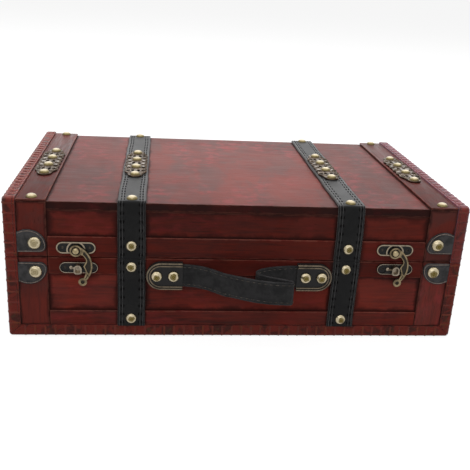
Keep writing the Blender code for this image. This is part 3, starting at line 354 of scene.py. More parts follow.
def finished(name, tree, values, depth, **constants):
    """A material whose finish comes from one of the groups, with bump of the given depth."""
    paint = Paint(name, **constants)
    paint.look = paint.node("ShaderNodeGroup", {"Vector": paint.place, **values}, node_tree=tree)
    paint.cover(*(Wire(paint, paint.look.outputs[label]) for label in FINISH), depth)
    return paint


GRAINS = {"x": (0.07, 1, 1), "y": (1, 0.07, 1), "z": (1, 1, 0.07)}
UNDER_STRAPS = ("front_board", "top_board", "rail")


def box_values(low, high):
    return {"Centre": [(a + b) / 2 for a, b in zip(low, high)], "Half Size": [(b - a) / 2 for a, b in zip(low, high)]}


def wood(name, direction, low, high, look, panel=None):
    """Stained wood whose grain runs along one axis of a board. A panel is the part of it inside its frame."""
    seed = sum(ord(letter) for letter in name) % 97 / 13
    values = {"Grain": GRAINS[direction], "Seed": seed, **box_values(low, high), **look}
    paint = finished(name, WOOD, values, 0.00012, specular=0.058)
    if panel:
        *corners, reach = panel
        strap_place = STRAP_X if any(word in name for word in UNDER_STRAPS) else FAR
        # Stain and painted shade at the panel's borders and beside the straps.
        stain = {"Vector": paint.place, "Reach": reach, "Strap Place": strap_place, **box_values(*corners)}
        paint.feed(paint.look, {"Shade": paint.wire("ShaderNodeGroup", stain, node_tree=BORDER_STAIN_AND_SHADE)})
    tone = look.get("Tone", 1.0)
    if "front_board" in name:
        aside = abs(paint.split(paint.place)[0])
        paint.feed(paint.look, {"Tone": paint.spread(aside, STRAP_X, STRAP_X + STRAP_WIDTH, tone, tone * 1.3)})
    # Painted light on the top board: brighter in its middle, darker towards its edges, along a wavering line.
    if "top_board" in name:
        out = paint.vector("LENGTH", paint.vector("MULTIPLY", paint.place, (9.0, 8.0, 0.0)))
        waver = (paint.noise(paint.place, 16.0, 3.0) - 0.5) * 1.2
        paint.feed(paint.look, {"Tone": paint.spread(out + waver, 0.4, 1.2, tone * 1.2, tone * 0.78)})
    return paint.material


def metal(name, bright, tarnish, age, seed=0.0, planes=None):
    """Aged metal. With planes, what lies behind them is tarnished and what stands before them is rubbed."""
    values = {"Bright": (*bright, 1), "Tarnish": (*tarnish, 1), "Age": age, "Seed": seed}
    paint = finished(name, METAL, values, 0.00006, metallic=1.0)
    if planes:
        proud = paint.spread(paint.split(paint.place)[1], *planes, 1.0, 0.0)
        paint.feed(paint.look, {"Proud And Lit": proud})
        paint.feed(paint.shader, {"Metallic": paint.spread(proud, 0.0, 1.0, 0.1, 1.0), "Specular IOR Level": 0.25})
    return paint.material


def tack_brass(bright, tarnish):
    """Brass of the tack heads, a little aged, pale round the shoulder, with painted dark reflections.

    These lie in a swirl in the middle of the front's tacks, less so at the far left, and at their rim, and over the
    shoulder of the top's.
    """
    values = {"Bright": (*bright, 1), "Tarnish": (*tarnish, 1), "Age": 0.25}
    paint = finished("aged_brass_tacks", METAL, values, 0.00006, metallic=1.0)
    plan = paint.wire("ShaderNodeUVMap", uv_map="plan")
    x, y, z = paint.split(paint.place)
    waver = (paint.noise(paint.place, 420.0, 2.0) - 0.5) * 0.5
    out = paint.vector("LENGTH", plan) + waver
    off_middle = paint.vector("LENGTH", paint.vector("ADD", plan, (0.10, 0.06, 0.0))) + waver
    swirl = paint.wire("ShaderNodeTexWave", {
        "Vector": paint.vector("ADD", plan, (0.11, 0.06, 0.0)), "Scale": 0.9, "Distortion": 2.5,
        "Detail Scale": 1.6}, "Fac", wave_type="RINGS", rings_direction="Z")
    painted_reflection_swirl = paint.spread(swirl, 0.3, 0.6, 0.80, 1.0) * paint.spread(x, -0.14, -0.12, 0.65, 1.0)
    facing_front = paint.spread(z, 0.095, 0.103, 1.0, 0.0)
    rim = paint.mix(facing_front, *(paint.spread(out, start, end, 0.0, 0.85) for start, end in (
        (0.40, 0.95), (0.90, 1.05))))
    # Painted dark reflections, laid on through the metal's proud input.
    low = paint.maths("MAXIMUM", paint.spread(off_middle, 0.68, 0.46) * painted_reflection_swirl * facing_front, rim)
    paint.feed(paint.look, {"Proud And Lit": 1.0 - low})
    return paint.material


def banded(name, values, depth, lines, strength, rubbed, **constants):
    """Leather of a strap, rubbed along two lines on each side that come from its own UV."""
    paint = finished(name, LEATHER, values, depth, **constants)
    from_middle = abs(paint.split(paint.wire("ShaderNodeUVMap", uv_map="width"))[0] - 0.5)
    ridges = [paint.spread(abs(from_middle - at), 0.015, 0.003, 0.0, strength) for at in lines]
    paint.feed(paint.look, {"Edge": paint.maths("MAXIMUM", rubbed, paint.maths("MAXIMUM", *ridges))})
    return paint.material


def plain(name, colour, roughness, specular=0.5):
    """A material with fine noise in its colour and roughness, for thread and other tiny things."""
    paint = Paint(name, specular=specular)
    speckle = paint.noise(paint.place, 900.0, 4.0)
    darker = [part * 0.45 for part in colour]
    return paint.cover(paint.mix(paint.spread(speckle, 0.35, 0.65), darker, colour),
                       paint.spread(speckle, 0.3, 0.7, roughness - 0.1, roughness + 0.1), speckle, 0.00005)


STRAP_LEATHER = banded("strap_leather", {}, 0.00005, (0.435, 0.33), 0.9, 0.0, specular=0.10, sheen=0.4)
HANDLE_LEATHER = banded("handle_leather", {"Seed": 3.1}, 0.00008, (0.455, 0.38), 0.5, 0.24, specular=0.10)
PATCH_LEATHER = finished("patch_leather", LEATHER, {"Seed": 1.7, "Edge": 0.6}, 0.00005, specular=0.15).material
PATCH_LINE = plain("patch_edge_line", (0.60, 0.47, 0.40), 0.55)
THREAD = plain("stitch_thread", (0.020, 0.019, 0.019), 0.9, 0.03)
LIGHT_THREAD = plain("handle_thread", (0.165, 0.145, 0.125), 0.75, 0.1)
# Thin dark sheets under the ornament plates: painted shade that shows through their holes.
ORNAMENT_SHADE_SHEET = plain("ornament_recess", (0.012, 0.010, 0.009), 0.9, 0.03)
EDGING_LINE = plain("edging_line", (0.30, 0.10, 0.085), 0.6, 0.05)
EDGING_GROOVE = plain("edging_groove", (0.105, 0.022, 0.020), 0.8, 0.02)
FAINT_GROOVE = plain("edging_groove_faint", (0.215, 0.062, 0.062), 0.6, 0.08)
BRASS_DARK = (0.095, 0.068, 0.010)
BRASS = tack_brass((0.50, 0.430, 0.295), BRASS_DARK)
BRONZE_PLAIN = metal("dark_bronze_plain", (0.120, 0.088, 0.052), (0.055, 0.041, 0.027), 0.8)
FILIGREE = metal("filigree_bronze", (0.120, 0.083, 0.053), (0.022, 0.014, 0.009), 0.8, 2.0)
SCREW_METAL = metal("dark_screws", (0.060, 0.050, 0.040), (0.012, 0.011, 0.010), 0.8, 6.0)
KEEPER_LINE = metal("keeper_rim_line", (0.26, 0.215, 0.165), (0.06, 0.05, 0.04), 0.3, 8.0)
WORN = {"specular": 0.10, "sheen": 0.15}
# The right lid edging's copy of the edging, with a purple sheen and less warmth on its ribs: a painted reflection,
# which the left side lacks.
SMOOTH = {"specular": 0.16, "sheen": 0.65, "tint": (0.78, 0.62, 0.86, 1)}
EDGING = finished("embossed_edging_red", EDGED, {}, 0.00020, **WORN).material
RIB = finished("embossed_rib", EDGED, {"Rib": 1.0, "Seed": 1.3}, 0.00010, **WORN).material
EDGING_PAINTED_REFLECTION = finished("embossed_edging_smooth", EDGED, {"Seed": 4.2}, 0.00012, **SMOOTH).material
RIB_PAINTED_REFLECTION = finished("embossed_rib_smooth", EDGED, {"Rib": 0.4, "Seed": 5.1}, 0.00010, **SMOOTH).material


# Geometry Nodes trees that repeat a small piece

REPEATED = {"Piece": OBJECT, "Material": MATERIAL, "Seed": WHOLE, "Unevenness": FLOAT}


def path_tree():
    """Places a small piece at an even pitch along curves, its X along the curve and its Z facing outward."""
    net, given = group("pieces_along_path", {"Path": GEOMETRY, "Pitch": FLOAT, "Side": VECTOR, **REPEATED},
                       {"Pieces": GEOMETRY}, "GeometryNodeTree")
    points = net.node("GeometryNodeCurveToPoints", {"Curve": given["Path"], "Length": given["Pitch"]}, mode="LENGTH")
    tangent = Wire(net, points.outputs["Tangent"])
    facing = net.vector("CROSS_PRODUCT", given["Side"], tangent)
    first = net.wire("FunctionNodeAlignRotationToVector", {"Vector": tangent}, axis="X")
    second = net.wire("FunctionNodeAlignRotationToVector", {"Rotation": first, "Vector": facing}, axis="Z",
                      pivot_axis="X")
    return repeat(net, given, Wire(net, points.outputs["Points"]), second)


def point_tree():
    """Places a small piece on each point, its Z along the point's facing, turned at random about it."""
    net, given = group("pieces_on_points", {"Points": GEOMETRY, **REPEATED}, {"Pieces": GEOMETRY},
                       "GeometryNodeTree")
    spin = net.wire("FunctionNodeRandomValue", {3: math.tau, "Seed": given["Seed"]}, 1, data_type="FLOAT")
    turned = net.wire("FunctionNodeEulerToRotation", (net.wire("ShaderNodeCombineXYZ", {2: spin}),))
    facing = net.wire("GeometryNodeInputNamedAttribute", {"Name": "facing"}, data_type="FLOAT_VECTOR")
    align = net.wire("FunctionNodeAlignRotationToVector", {"Rotation": turned, "Vector": facing}, axis="Z")
    size = net.wire("GeometryNodeInputNamedAttribute", {"Name": "size"}, data_type="FLOAT")
    return repeat(net, given, given["Points"], align, size)


def repeat(net, given, points, rotation, size=None):
    """Instances the piece, a little uneven in size, then realizes it and gives it the material."""
    uneven = given["Unevenness"]
    scale = net.wire("FunctionNodeRandomValue", {"Seed": given["Seed"], 2: 1.0 - uneven, 3: uneven + 1.0}, 1,
                     data_type="FLOAT")
    piece = net.wire("GeometryNodeObjectInfo", (given["Piece"],), "Geometry")
    instances = net.wire("GeometryNodeInstanceOnPoints", {"Points": points, "Instance": piece, "Rotation": rotation,
                                                          "Scale": scale * size if size else scale})
    real = net.wire("GeometryNodeRealizeInstances", (instances,))
    return net.give(Pieces=net.wire("GeometryNodeSetMaterial", {"Geometry": real, "Material": given["Material"]}))


ALONG_PATH, ON_POINTS = path_tree(), point_tree()


# Drawing pieces

def linked(made):
    bpy.context.scene.collection.objects.link(made)
    return made


def show(made, body, slot, *replaced):
    """Hangs a finished piece on its body and hides the nodes that it stands for."""
    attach(made, body)
    if replaced:
        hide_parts(*replaced)


def worked_out(source, name):
    """The mesh that a curve or a modifier makes. The source is removed."""
    linked(source)
    bpy.context.view_layer.update()
    graph = bpy.context.evaluated_depsgraph_get()
    mesh = bpy.data.meshes.new_from_object(source.evaluated_get(graph), depsgraph=graph)
    bpy.data.objects.remove(source, do_unlink=True)
    mesh.name = name
    return mesh


def grown(name, source, tree, **inputs):
    """What a tree makes of a curve or of points, as an object of its own at the origin."""
    modifier = source.modifiers.new("grow", "NODES")
    modifier.node_group = tree
    for item in tree.interface.items_tree:
        if item.in_out == "INPUT" and item.name in inputs:
            modifier[item.identifier] = inputs[item.name]
    return linked(bpy.data.objects.new(name, worked_out(source, name)))


def from_bmesh(name, bm, *materials, smooth=True):
    mesh = bpy.data.meshes.new(name)
    bmesh.ops.recalc_face_normals(bm, faces=bm.faces)
    bm.to_mesh(mesh)
    bm.free()
    for material in materials:
        mesh.materials.append(material)
    if smooth:
        mesh.shade_smooth()
        mesh.set_sharp_from_angle(angle=math.radians(40))
    return bpy.data.objects.new(name, mesh)


def skin(bm, places):
    """Faces between neighbouring rings of points, and over the ends unless they are single points."""
    rings = [[bm.verts.new(place) for place in ring] for ring in places]
    for one, two in zip(rings, rings[1:]):
        count = max(len(one), len(two))
        for step in range(count):
            after = (step + 1) % count
            corners = (one[step % len(one)], one[after % len(one)], two[after % len(two)], two[step % len(two)])
            bm.faces.new(list(dict.fromkeys(corners)))
    for end in (rings[0][::-1], rings[-1]):
        if len(end) > 1:
            bm.faces.new(end)
    return rings


def repeated(name, *solids):
    """A small piece that is going to be repeated, from the rings of its solids. It stays hidden itself."""
    bm = bmesh.new()
    for rings in solids:
        skin(bm, rings)
    made = linked(from_bmesh(name, bm))
    made.hide_render = True
    made.hide_viewport = True
    return made


def oval(centre, wide, tall, angle):
    """The point of an oval at an angle in degrees."""
    return (centre[0] + wide * math.cos(math.radians(angle)), centre[1] + tall * math.sin(math.radians(angle)))


def arc(centre, radius, start, end, steps):
    return [oval(centre, radius, radius, start + (end - start) * step / steps) for step in range(steps + 1)]


def lathe(name, profile, sides):
    """A small closed shape turned about Z, from (radius, height) points that run from the foot to the top."""
    return repeated(name, [[(*spot, height) for spot in arc((0, 0), radius, 0, 360, sides)[:-1 if radius else 1]]
                           for radius, height in profile])


def polylines(name, runs, closed=False, **settings):
    """Curves through runs of points: open ones in space, or closed outlines in a plane."""
    curve = bpy.data.curves.new(name, "CURVE")
    curve.dimensions = "2D" if closed else "3D"
    for label, value in settings.items():
        setattr(curve, label, value)
    for run in runs:
        spline = curve.splines.new("POLY")
        spline.points.add(len(run) - 1)
        spline.use_cyclic_u = closed
        for point, place in zip(spline.points, run):
            point.co = (*place, 1)
    return bpy.data.objects.new(name, curve)


def raised_lines(name, runs, radius, material):
    """Fine raised wires along runs of points."""
    mesh = worked_out(polylines(name, runs, bevel_depth=radius, bevel_resolution=1, use_fill_caps=True), name)
    mesh.materials.clear()
    mesh.materials.append(material)
    mesh.shade_smooth()
    return linked(bpy.data.objects.new(name, mesh))


def marks(name, rows):
    """Loose points that carry a facing and a size, from (place, facing, size) rows."""
    mesh = bpy.data.meshes.new(name)
    mesh.from_pydata([row[0] for row in rows], [], [])
    for label, kind in (("facing", "FLOAT_VECTOR"), ("size", "FLOAT")):
        mesh.attributes.new(label, kind, "POINT")
    for index, (_, toward, scale) in enumerate(rows):
        mesh.attributes["facing"].data[index].vector = toward
        mesh.attributes["size"].data[index].value = scale
    return bpy.data.objects.new(name, mesh)


def on_places(name, rows, piece, material, seed, uneven):
    """A piece on each of the marks that the rows give."""
    return grown(name, marks(name, rows), ON_POINTS, Piece=piece, Material=material, Seed=seed, Unevenness=uneven)


def along_runs(name, runs, pitch, side, piece, material, seed, uneven):
    """A piece at an even pitch along runs of points."""
    return grown(name, polylines(name, runs), ALONG_PATH, Pitch=pitch, Side=side, Piece=piece, Material=material,
                 Seed=seed, Unevenness=uneven)


def even_run(route, step):
    """A route cut into steps of about the same length, corners kept."""
    run = [Vector(route[0])]
    for start, end in zip(route, route[1:]):
        start, end = Vector(start), Vector(end)
        count = max(1, round((end - start).length / step))
        run += [start.lerp(end, index / count) for index in range(1, count + 1)]
    return run


def direction(run, index):
    """Which way a run goes at one of its points."""
    return (run[min(index + 1, len(run) - 1)] - run[max(index - 1, 0)]).normalized()


def half_and_half(face, back, width, thickness):
    """A strap's closed section, mirrored from the shares of one half of its face and of its back."""
    shares = ([(-aside, height) for aside, height in face] + list(face[-2::-1]) + list(back)
              + [(-aside, height) for aside, height in back[-2::-1]])
    return [(aside * width / 2, height * thickness / 2) for aside, height in shares]


def sweep(name, route, across, section, width, material):
    """A closed section drawn along a route. The section gives (across, height) and height follows across x route.

    Its UV is the share of the width, and the way along the route in widths.
    """
    bm = bmesh.new()
    layer = bm.loops.layers.uv.new("width")
    across = Vector(across)
    rings, far = [], [0.0]
    for index, place in enumerate(route):
        up = direction(route, index).cross(across)
        rings.append([place + across * aside + up * height for aside, height in section])
        far.append(far[-1] + (route[min(index + 1, len(route) - 1)] - place).length)
    spots = {corner: (aside / width + 0.5, way / width) for ring, way in zip(skin(bm, rings), far)
             for corner, (aside, height) in zip(ring, section)}
    for face in bm.faces:
        for loop in face.loops:
            loop[layer].uv = spots[loop.vert] if len(face.verts) == 4 else (0.5, 0.0)
    return linked(from_bmesh(name, bm, material))


def inset_loop(loop, inset):
    """An outline moved in by an even inset."""
    centre = Vector((sum(point[0] for point in loop), sum(point[1] for point in loop))) / len(loop)
    moved = []
    for index, point in enumerate(loop):
        here, before, after = (Vector(spot) for spot in (point, loop[index - 1], loop[(index + 1) % len(loop)]))
        way = (here - before).normalized() + (after - here).normalized()
        normal = Vector((-way.y, way.x)).normalized()
        moved.append(tuple(here + normal * (inset if normal.dot(centre - here) >= 0 else -inset)))
    return moved


def flat_piece(name, loop, thickness, place, turn, round_edge, material):
    """An outline given a thickness, its outer rim rounded. The outline's Z faces out."""
    bm = bmesh.new()
    levels = [(loop, 0), (loop, thickness - round_edge)]
    for angle in (math.radians(30), math.radians(60), math.radians(90)):
        levels.append((inset_loop(loop, round_edge * (1 - math.cos(angle))),
                       thickness - round_edge + round_edge * math.sin(angle)))
    skin(bm, [[(*spot, height) for spot in level] for level, height in levels])
    bmesh.ops.transform(bm, matrix=Matrix.Translation(place) @ turn, verts=bm.verts)
    return linked(from_bmesh(name, bm, material))


ON_FRONT = Matrix.Rotation(math.pi / 2, 4, "X")
ON_TOP = Matrix.Identity(4)
UP, OUT = (0, 0, 1), (0, -1, 0)


# Small pieces that are repeated

def tack_pattern():
    """A dome head with a rolled rim and a small pressed ring, one unit in radius. Its UV is its plan."""
    share = TACK_HEIGHT / TACK_RADIUS
    crown = [(0, 0.97), (0.10, 0.965), (0.20, 0.955), (0.27, 0.985), (0.36, 0.99), (0.43, 0.93), (0.52, 0.88),
             (0.63, 0.80), (0.74, 0.68), (0.84, 0.53), (0.92, 0.36), (0.97, 0.18), (1.0, 0.06), (0.985, -0.06),
             (0.90, -0.10), (0, -0.10)]
    head = lathe("tack_pattern", [(radius, height * share) for radius, height in crown[::-1]], 28)
    plan = head.data.uv_layers.new(name="plan")
    for corner, spot in zip(head.data.loops, plan.data):
        spot.uv = head.data.vertices[corner.vertex_index].co.xy
    return head


def stitch_pattern(name, length, width, height):
    """One stitch: a short thread that dips at both ends, lying along X."""
    rings = []
    for share in (step / 6 for step in range(7)):
        swell = math.sin(math.pi * (0.08 + 0.84 * share))
        rings.append([(length * (share - 0.5), across, up + height * (swell - 0.75))
                      for across, up in arc((0, 0), width / 2 * swell, 0, 300, 5)])
    return repeated(name, rings)


def rib_pattern(name, inner_leg, outer_leg, side):
    """A raised rib across the edging: a leg on the face, a round over the corner and a leg down the side."""
    rise, breadth = 0.00028, 0.0017
    bend = [(EDGING_ROUND - aside, up - EDGING_ROUND) for up, aside in arc((0, 0), EDGING_ROUND, 0, 90, 6)]
    line = [Vector(spot) for spot in [(inner_leg, 0.0), *bend, (0.0, -outer_leg)]]
    rings = []
    for index, spot in enumerate(line):
        along = direction(line, index)
        normal = Vector((along.y, -along.x))
        normal = normal if normal.y - normal.x > 0 else -normal
        places = [(across * breadth, spot + normal * rise * lift) for across, lift in (
            (-1 / 2, -1), (-1 / 3, 0.6), (0, 1), (1 / 3, 0.6), (1 / 2, -1))]
        rings.append([(across, side * place.x, place.y) for across, place in places])
    return repeated(name, rings)


def low_solid(loop, foot, top, narrowed=1, shortened=1):
    """The rings of a solid between two heights over an outline, its top drawn in."""
    return [[(*spot, foot) for spot in loop], [(across * narrowed, along * shortened, top) for across, along in loop]]


def groove_pattern(length, breadth):
    """A low mark with rounded ends, lying across the run."""
    ends = arc((0, breadth / 2 - length / 2), length / 2, 0, 180, 5)
    loop = ends + [(-across, -along) for across, along in ends]
    return repeated("edging_groove_pattern", low_solid(loop, -0.0001, 0.00012, 0.8, 0.94))


def screw_pattern():
    """A slotted screw head, one unit in radius: two half rounds with the slot between them, on a sunk disc."""
    halves = [low_solid(arc((0, 0), 1.0, start, start + 156, 8), -0.1, 0.30, 0.86, 0.95) for start in (12, 192)]
    return repeated("screw_pattern", *halves, low_solid(arc((0, 0), 1.0, 0, 345, 23), -0.5, 0.0))


TACK = tack_pattern()
STITCH = stitch_pattern("strap_stitch_pattern", 0.0031, 0.00110, 0.00040)
HANDLE_STITCH = stitch_pattern("handle_stitch_pattern", 0.0030, 0.00080, 0.00045)
GROOVE = groove_pattern(0.0018, 0.0038)
SCREW = screw_pattern()


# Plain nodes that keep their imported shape: boards, slats, edging, hinges, latches and caps

BOARD, RAIL, STILE = {"Wear": 0.6, "Contrast": 0.9}, {"Contrast": 0.9}, {"Contrast": 0.65, "Haze": 0.8}
WOODEN = {"front_board": ("x", BOARD), "back_board": ("x", BOARD), "bottom_board": ("x", BOARD),
          "top_board": ("x", {"Wear": 0.6, "Contrast": 0.35, "Flecks": 0.6, "Haze": 0.7, "Clouds": (1.7, 0.6, 1)}),
          "left_board": ("y", BOARD), "right_board": ("y", BOARD), "rail": ("x", RAIL),
          "stile_left": ("z", STILE), "stile_right": ("z", STILE)}
# How bright each piece's stain is drawn. Most of the base's front pieces are brighter than the lid's: partly painted
# light, as the lower front takes more light from the floor, and partly to make up for darker grain.
TONES = {"lid_top_board": 1.10, "lid_front_board": 1.05, "base_front_board": 1.45, "base_lower_rail": 1.5,
         "base_stile_left": 1.55, "base_stile_right": 2.2, "lid_stile_left": 1.4, "lid_stile_right": 1.45,
         "base_upper_rail": 0.85}
INNER = LID_RAIL[1].x
# How far stain and painted shade reach: in the front panels, in the top board and stiles, and beside the straps on
# other pieces.
PANEL_STAIN_AND_SHADE, TOP_STAIN_AND_SHADE, END_STAIN_AND_SHADE = 0.005, 0.0022, 0.003
PANELS = {
    "lid_front_board": ((-INNER, -FAR, LID_RAIL[1].z), (INNER, FAR, TOP_BOARD[0].z), PANEL_STAIN_AND_SHADE),
    "base_front_board": ((-INNER, -FAR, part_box("base_lower_rail")[1].z), (INNER, FAR, BASE_RAIL[0].z), PANEL_STAIN_AND_SHADE),
    "lid_top_board": ((-INNER, -BOARD_Y - GAP, -FAR), (INNER, BOARD_Y + 0.002, FAR), TOP_STAIN_AND_SHADE)}

# Bright and tarnished colour, age and seed, then the side of the box from which two depths are measured, between
# which the metal turns from rubbed to tarnished
LATCHES_AND_CAPS = {
    "latch_hook": ((0.22, 0.170, 0.100), (0.026, 0.020, 0.013), 0.6, 1.0, 0, 0.00025, 0.0005),
    "latch_plate": ((0.27, 0.222, 0.162), (0.005, 0.005, 0.005), 0.4, 2.0, 0, 0.00015, 0.0004),
    "latch_keeper": ((0.27, 0.225, 0.170), (0.008, 0.007, 0.007), 0.4, 3.0, 1, -KEEPER_THICKNESS - 0.0004,
                     -KEEPER_THICKNESS - 0.0001),
    "handle_cap": ((0.135, 0.107, 0.075), (0.014, 0.013, 0.013), 0.5, 4.0, 0, 0.00025, 0.0005)}


def material_of(node):
    low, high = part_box(node)
    for ending, (grain, look) in WOODEN.items():
        if node.endswith(ending):
            panel = PANELS.get(node, ((-FAR, -FAR, -FAR), (FAR, FAR, FAR), END_STAIN_AND_SHADE))
            if "stile" in node:
                panel = ((low.x, -FAR, low.z), (high.x, FAR, high.z), TOP_STAIN_AND_SHADE)
            return wood(f"wood_{node}", grain, low, high, {**look, "Tone": TONES.get(node, 1.0)}, panel)
    for kind, (bright, tarnish, age, seed, side, *depths) in LATCHES_AND_CAPS.items():
        if node.startswith(kind):
            planes = [(low, high)[side].y + depth for depth in depths]
            return metal(f"bronze_{node}", bright, tarnish, age, seed, planes)
    if node.startswith("latch_rivet"):
        return metal("brass_rivet", (0.34, 0.275, 0.165), BRASS_DARK, 0.5, 5.0)
    if "_edging_" in node:
        # The right lid edging takes the copy with the painted reflection.
        return EDGING_PAINTED_REFLECTION if node == "lid_edging_right" else EDGING
    return BRONZE_PLAIN if node.startswith("hinge") else None


for node, made in NODES.items():
    material = material_of(node)
    if material:
        made.data.materials.clear()
        made.data.materials.append(material)


# Screws at the bottom of the holes in the latch plates and keepers

PLATE_SCREW_INSET, PLATE_SCREW_RISE, KEEPER_LOBE = 0.0044, 0.0018, 0.00415
SCREW_RADIUS, SCREW_SEAT = 0.00106, 0.0003
for name, side in SIDES:
    plate, keeper = f"latch_plate_{name}", f"latch_keeper_{name}"
    for node, body, inset, height in (
            (plate, "lid", PLATE_SCREW_INSET, middle_of(f"latch_rivet_{name}").z + PLATE_SCREW_RISE),
            (keeper, "base", KEEPER_LOBE, middle_of(keeper).z)):
        low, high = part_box(node)
        rows = [((x, high.y - SCREW_SEAT, height), OUT, SCREW_RADIUS) for x in (low.x + inset, high.x - inset)]
        show(on_places(f"{node}_screws", rows, SCREW, SCREW_METAL, 9, 0.0), body, "dark_bronze")


# Straps

HALF_STRAP = STRAP_THICKNESS / 2
STRAP_SEAT = -SLAT_FACE - GAP - HALF_STRAP
STRAP_SECTION = half_and_half(
    ((1.0, -0.55), (0.997, 0.35), (0.98, 0.70), (0.94, 0.86), (0.89, 0.90), (0.84, 0.84), (0.80, 0.78), (0.76, 0.76),
     (0.72, 0.80), (0.66, 0.88), (0.60, 0.80), (0.56, 0.76), (0.52, 0.80), (0.45, 0.88), (0.30, 0.93), (0.0, 0.96)),
    ((0.97, -1.0), (0.0, -1.0)), STRAP_WIDTH, STRAP_THICKNESS)
ROW_OFFSETS = [side * share * STRAP_WIDTH / 2 for side in (-1, 1) for share in (0.76, 0.56)]
STRAP_STITCH_PITCH = 0.0062
STRAP_STEP, STRAP_SWAY, STRAP_END_INSET = 0.004, 0.00022, 0.0004


def lid_strap_route():
    """The middle line of a lid strap from its back end over the front edge down to the seam, as (y, z)."""
    over = arc((-BOARD_Y, TOP_Z), GAP + HALF_STRAP, 90, 180, 8)
    return [(BOARD_Y - STRAP_END_INSET, TOP_Z + GAP + HALF_STRAP)] + over + [
        (STRAP_SEAT, LID_RAIL[1].z + STRAP_THICKNESS), (STRAP_SEAT, LID_FLOOR)]


def stitch_rows(name, places, across, offsets, height, pitch, pattern, material, seed, margin=0.003):
    """Rows of stitches beside a route, at a height above its middle line."""
    across = Vector(across)
    runs = []
    for offset in offsets:
        run = [place + across * offset + direction(places, index).cross(across) * height
               for index, place in enumerate(places)]
        start, end = (run[1] - run[0]).normalized(), (run[-1] - run[-2]).normalized()
        run[0] += start * margin
        run[-1] -= end * margin
        runs.append(run)
    return along_runs(name, runs, pitch, tuple(-across), pattern, material, seed, 0.08)


for name, side in SIDES:
    for body, route, seed in (("lid", lid_strap_route(), 3),
                              ("base", [(STRAP_SEAT, BASE_TOP), (STRAP_SEAT, STRAP_FOOT)], 4)):
        places = even_run([(side * STRAP_X, along, up) for along, up in route], STRAP_STEP)
        for index, place in enumerate(places[1:-1]):
            place.x += STRAP_SWAY * math.sin(index * 0.41 + side * STRAP_X * 90)
        strap = sweep(f"{body}_strap_leather_{name}", places, (1, 0, 0), STRAP_SECTION, STRAP_WIDTH, STRAP_LEATHER)
        show(strap, body, "black_leather", f"{body}_strap_{name}")
        show(stitch_rows(f"{body}_strap_stitches_{name}", places, (1, 0, 0), ROW_OFFSETS, HALF_STRAP * 0.70,
                         STRAP_STITCH_PITCH, STITCH, THREAD, seed), body, "black_leather")


# Strap handle

HANDLE_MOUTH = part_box("handle_cap_right")[0].x
HANDLE_MIDDLE = middle_of("handle_cap_right").z
HANDLE_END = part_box("handle_strap")[1].x
HANDLE_SEAT = SLAT_FACE + 2 * GAP + HANDLE_THICKNESS / 2
HANDLE_BOW, HANDLE_SAG_SHARE, HANDLE_FOLD = 0.0273, 0.055, 0.0017
HANDLE_STITCH_PITCH, HANDLE_STITCH_MARGIN = 0.0042, 0.0005
BACK_SHARES = ((1.000, 0.000), (0.870, 0.007), (0.744, 0.033), (0.512, 0.114), (0.360, 0.216), (0.279, 0.322),
               (0.263, 0.414), (0.302, 0.531), (0.419, 0.641), (0.605, 0.768))
FOLD_SHARES = (0.790, 0.950)
FRONT_SHARES = ((0.518, 0.985), (0.235, 0.883), (0.000, 0.736), (-0.165, 0.615), (-0.306, 0.516),
                (-0.447, 0.341), (-0.612, 0.168), (-0.753, 0.066), (-0.894, 0.011), (-1.000, 0.000))
HANDLE_SECTION = half_and_half(
    ((1.0, 0.0), (0.99, 0.50), (0.96, 0.80), (0.91, 0.88), (0.87, 0.80), (0.83, 0.66), (0.79, 0.82), (0.73, 0.84),
     (0.69, 0.68), (0.65, 0.80), (0.50, 0.88), (0.0, 0.96)),
    ((0.99, -0.50), (0.95, -0.88), (0.5, -0.95), (0.0, -0.97)), HANDLE_WIDTH, HANDLE_THICKNESS)
HANDLE_ROWS = [side * 0.76 * HANDLE_WIDTH / 2 for side in (-1, 1)]


def smooth_run(points, steps):
    """A curve through the points, with both ends included."""
    ends = [points[0]] + list(points) + [points[-1]]
    run = []
    for before, start, end, after in zip(ends, ends[1:], ends[2:], ends[3:]):
        for step in range(steps):
            t = step / steps
            run.append(tuple(b + ((c - a) * t + (2 * a - 5 * b + 4 * c - d) * t ** 2
                                  + (3 * (b - c) + d - a) * t ** 3) / 2
                             for a, b, c, d in zip(before, start, end, after)))
    return run + [tuple(points[-1])]


def handle_place(shares):
    return (shares[0] * HANDLE_MOUTH, -HANDLE_SEAT - shares[1] * HANDLE_BOW)


def handle_route():
    """The strap's middle line, from inside the right cap to inside the left cap."""
    fold = arc(handle_place(FOLD_SHARES), HANDLE_FOLD, 65, -94, 10)
    back = smooth_run([handle_place(pair) for pair in BACK_SHARES] + fold[:1], 6)
    front = smooth_run(fold[-1:] + [handle_place(pair) for pair in FRONT_SHARES], 6)
    tail = [(HANDLE_END - HANDLE_WIDTH / 2 * (1 - math.sin(math.radians(angle))), -HANDLE_SEAT)
            for angle in range(90, -1, -10)]
    flat = tail + back + fold[1:-1] + front + [(-across, along) for across, along in tail[::-1]]
    return [Vector((across, along, HANDLE_MIDDLE + (along + HANDLE_SEAT) * HANDLE_SAG_SHARE))
            for across, along in flat]


def rounded_ends(handle):
    """Draws both ends of the strap in to half rounds, as they lie in the caps."""
    for corner in handle.data.vertices:
        beyond = abs(corner.co.x) - (HANDLE_END - HANDLE_WIDTH / 2)
        if beyond > 0:
            room = math.sqrt(max((HANDLE_WIDTH / 2) ** 2 - beyond ** 2, 1e-8))
            corner.co.z = HANDLE_MIDDLE + max(-room, min(room, corner.co.z - HANDLE_MIDDLE))
    return handle


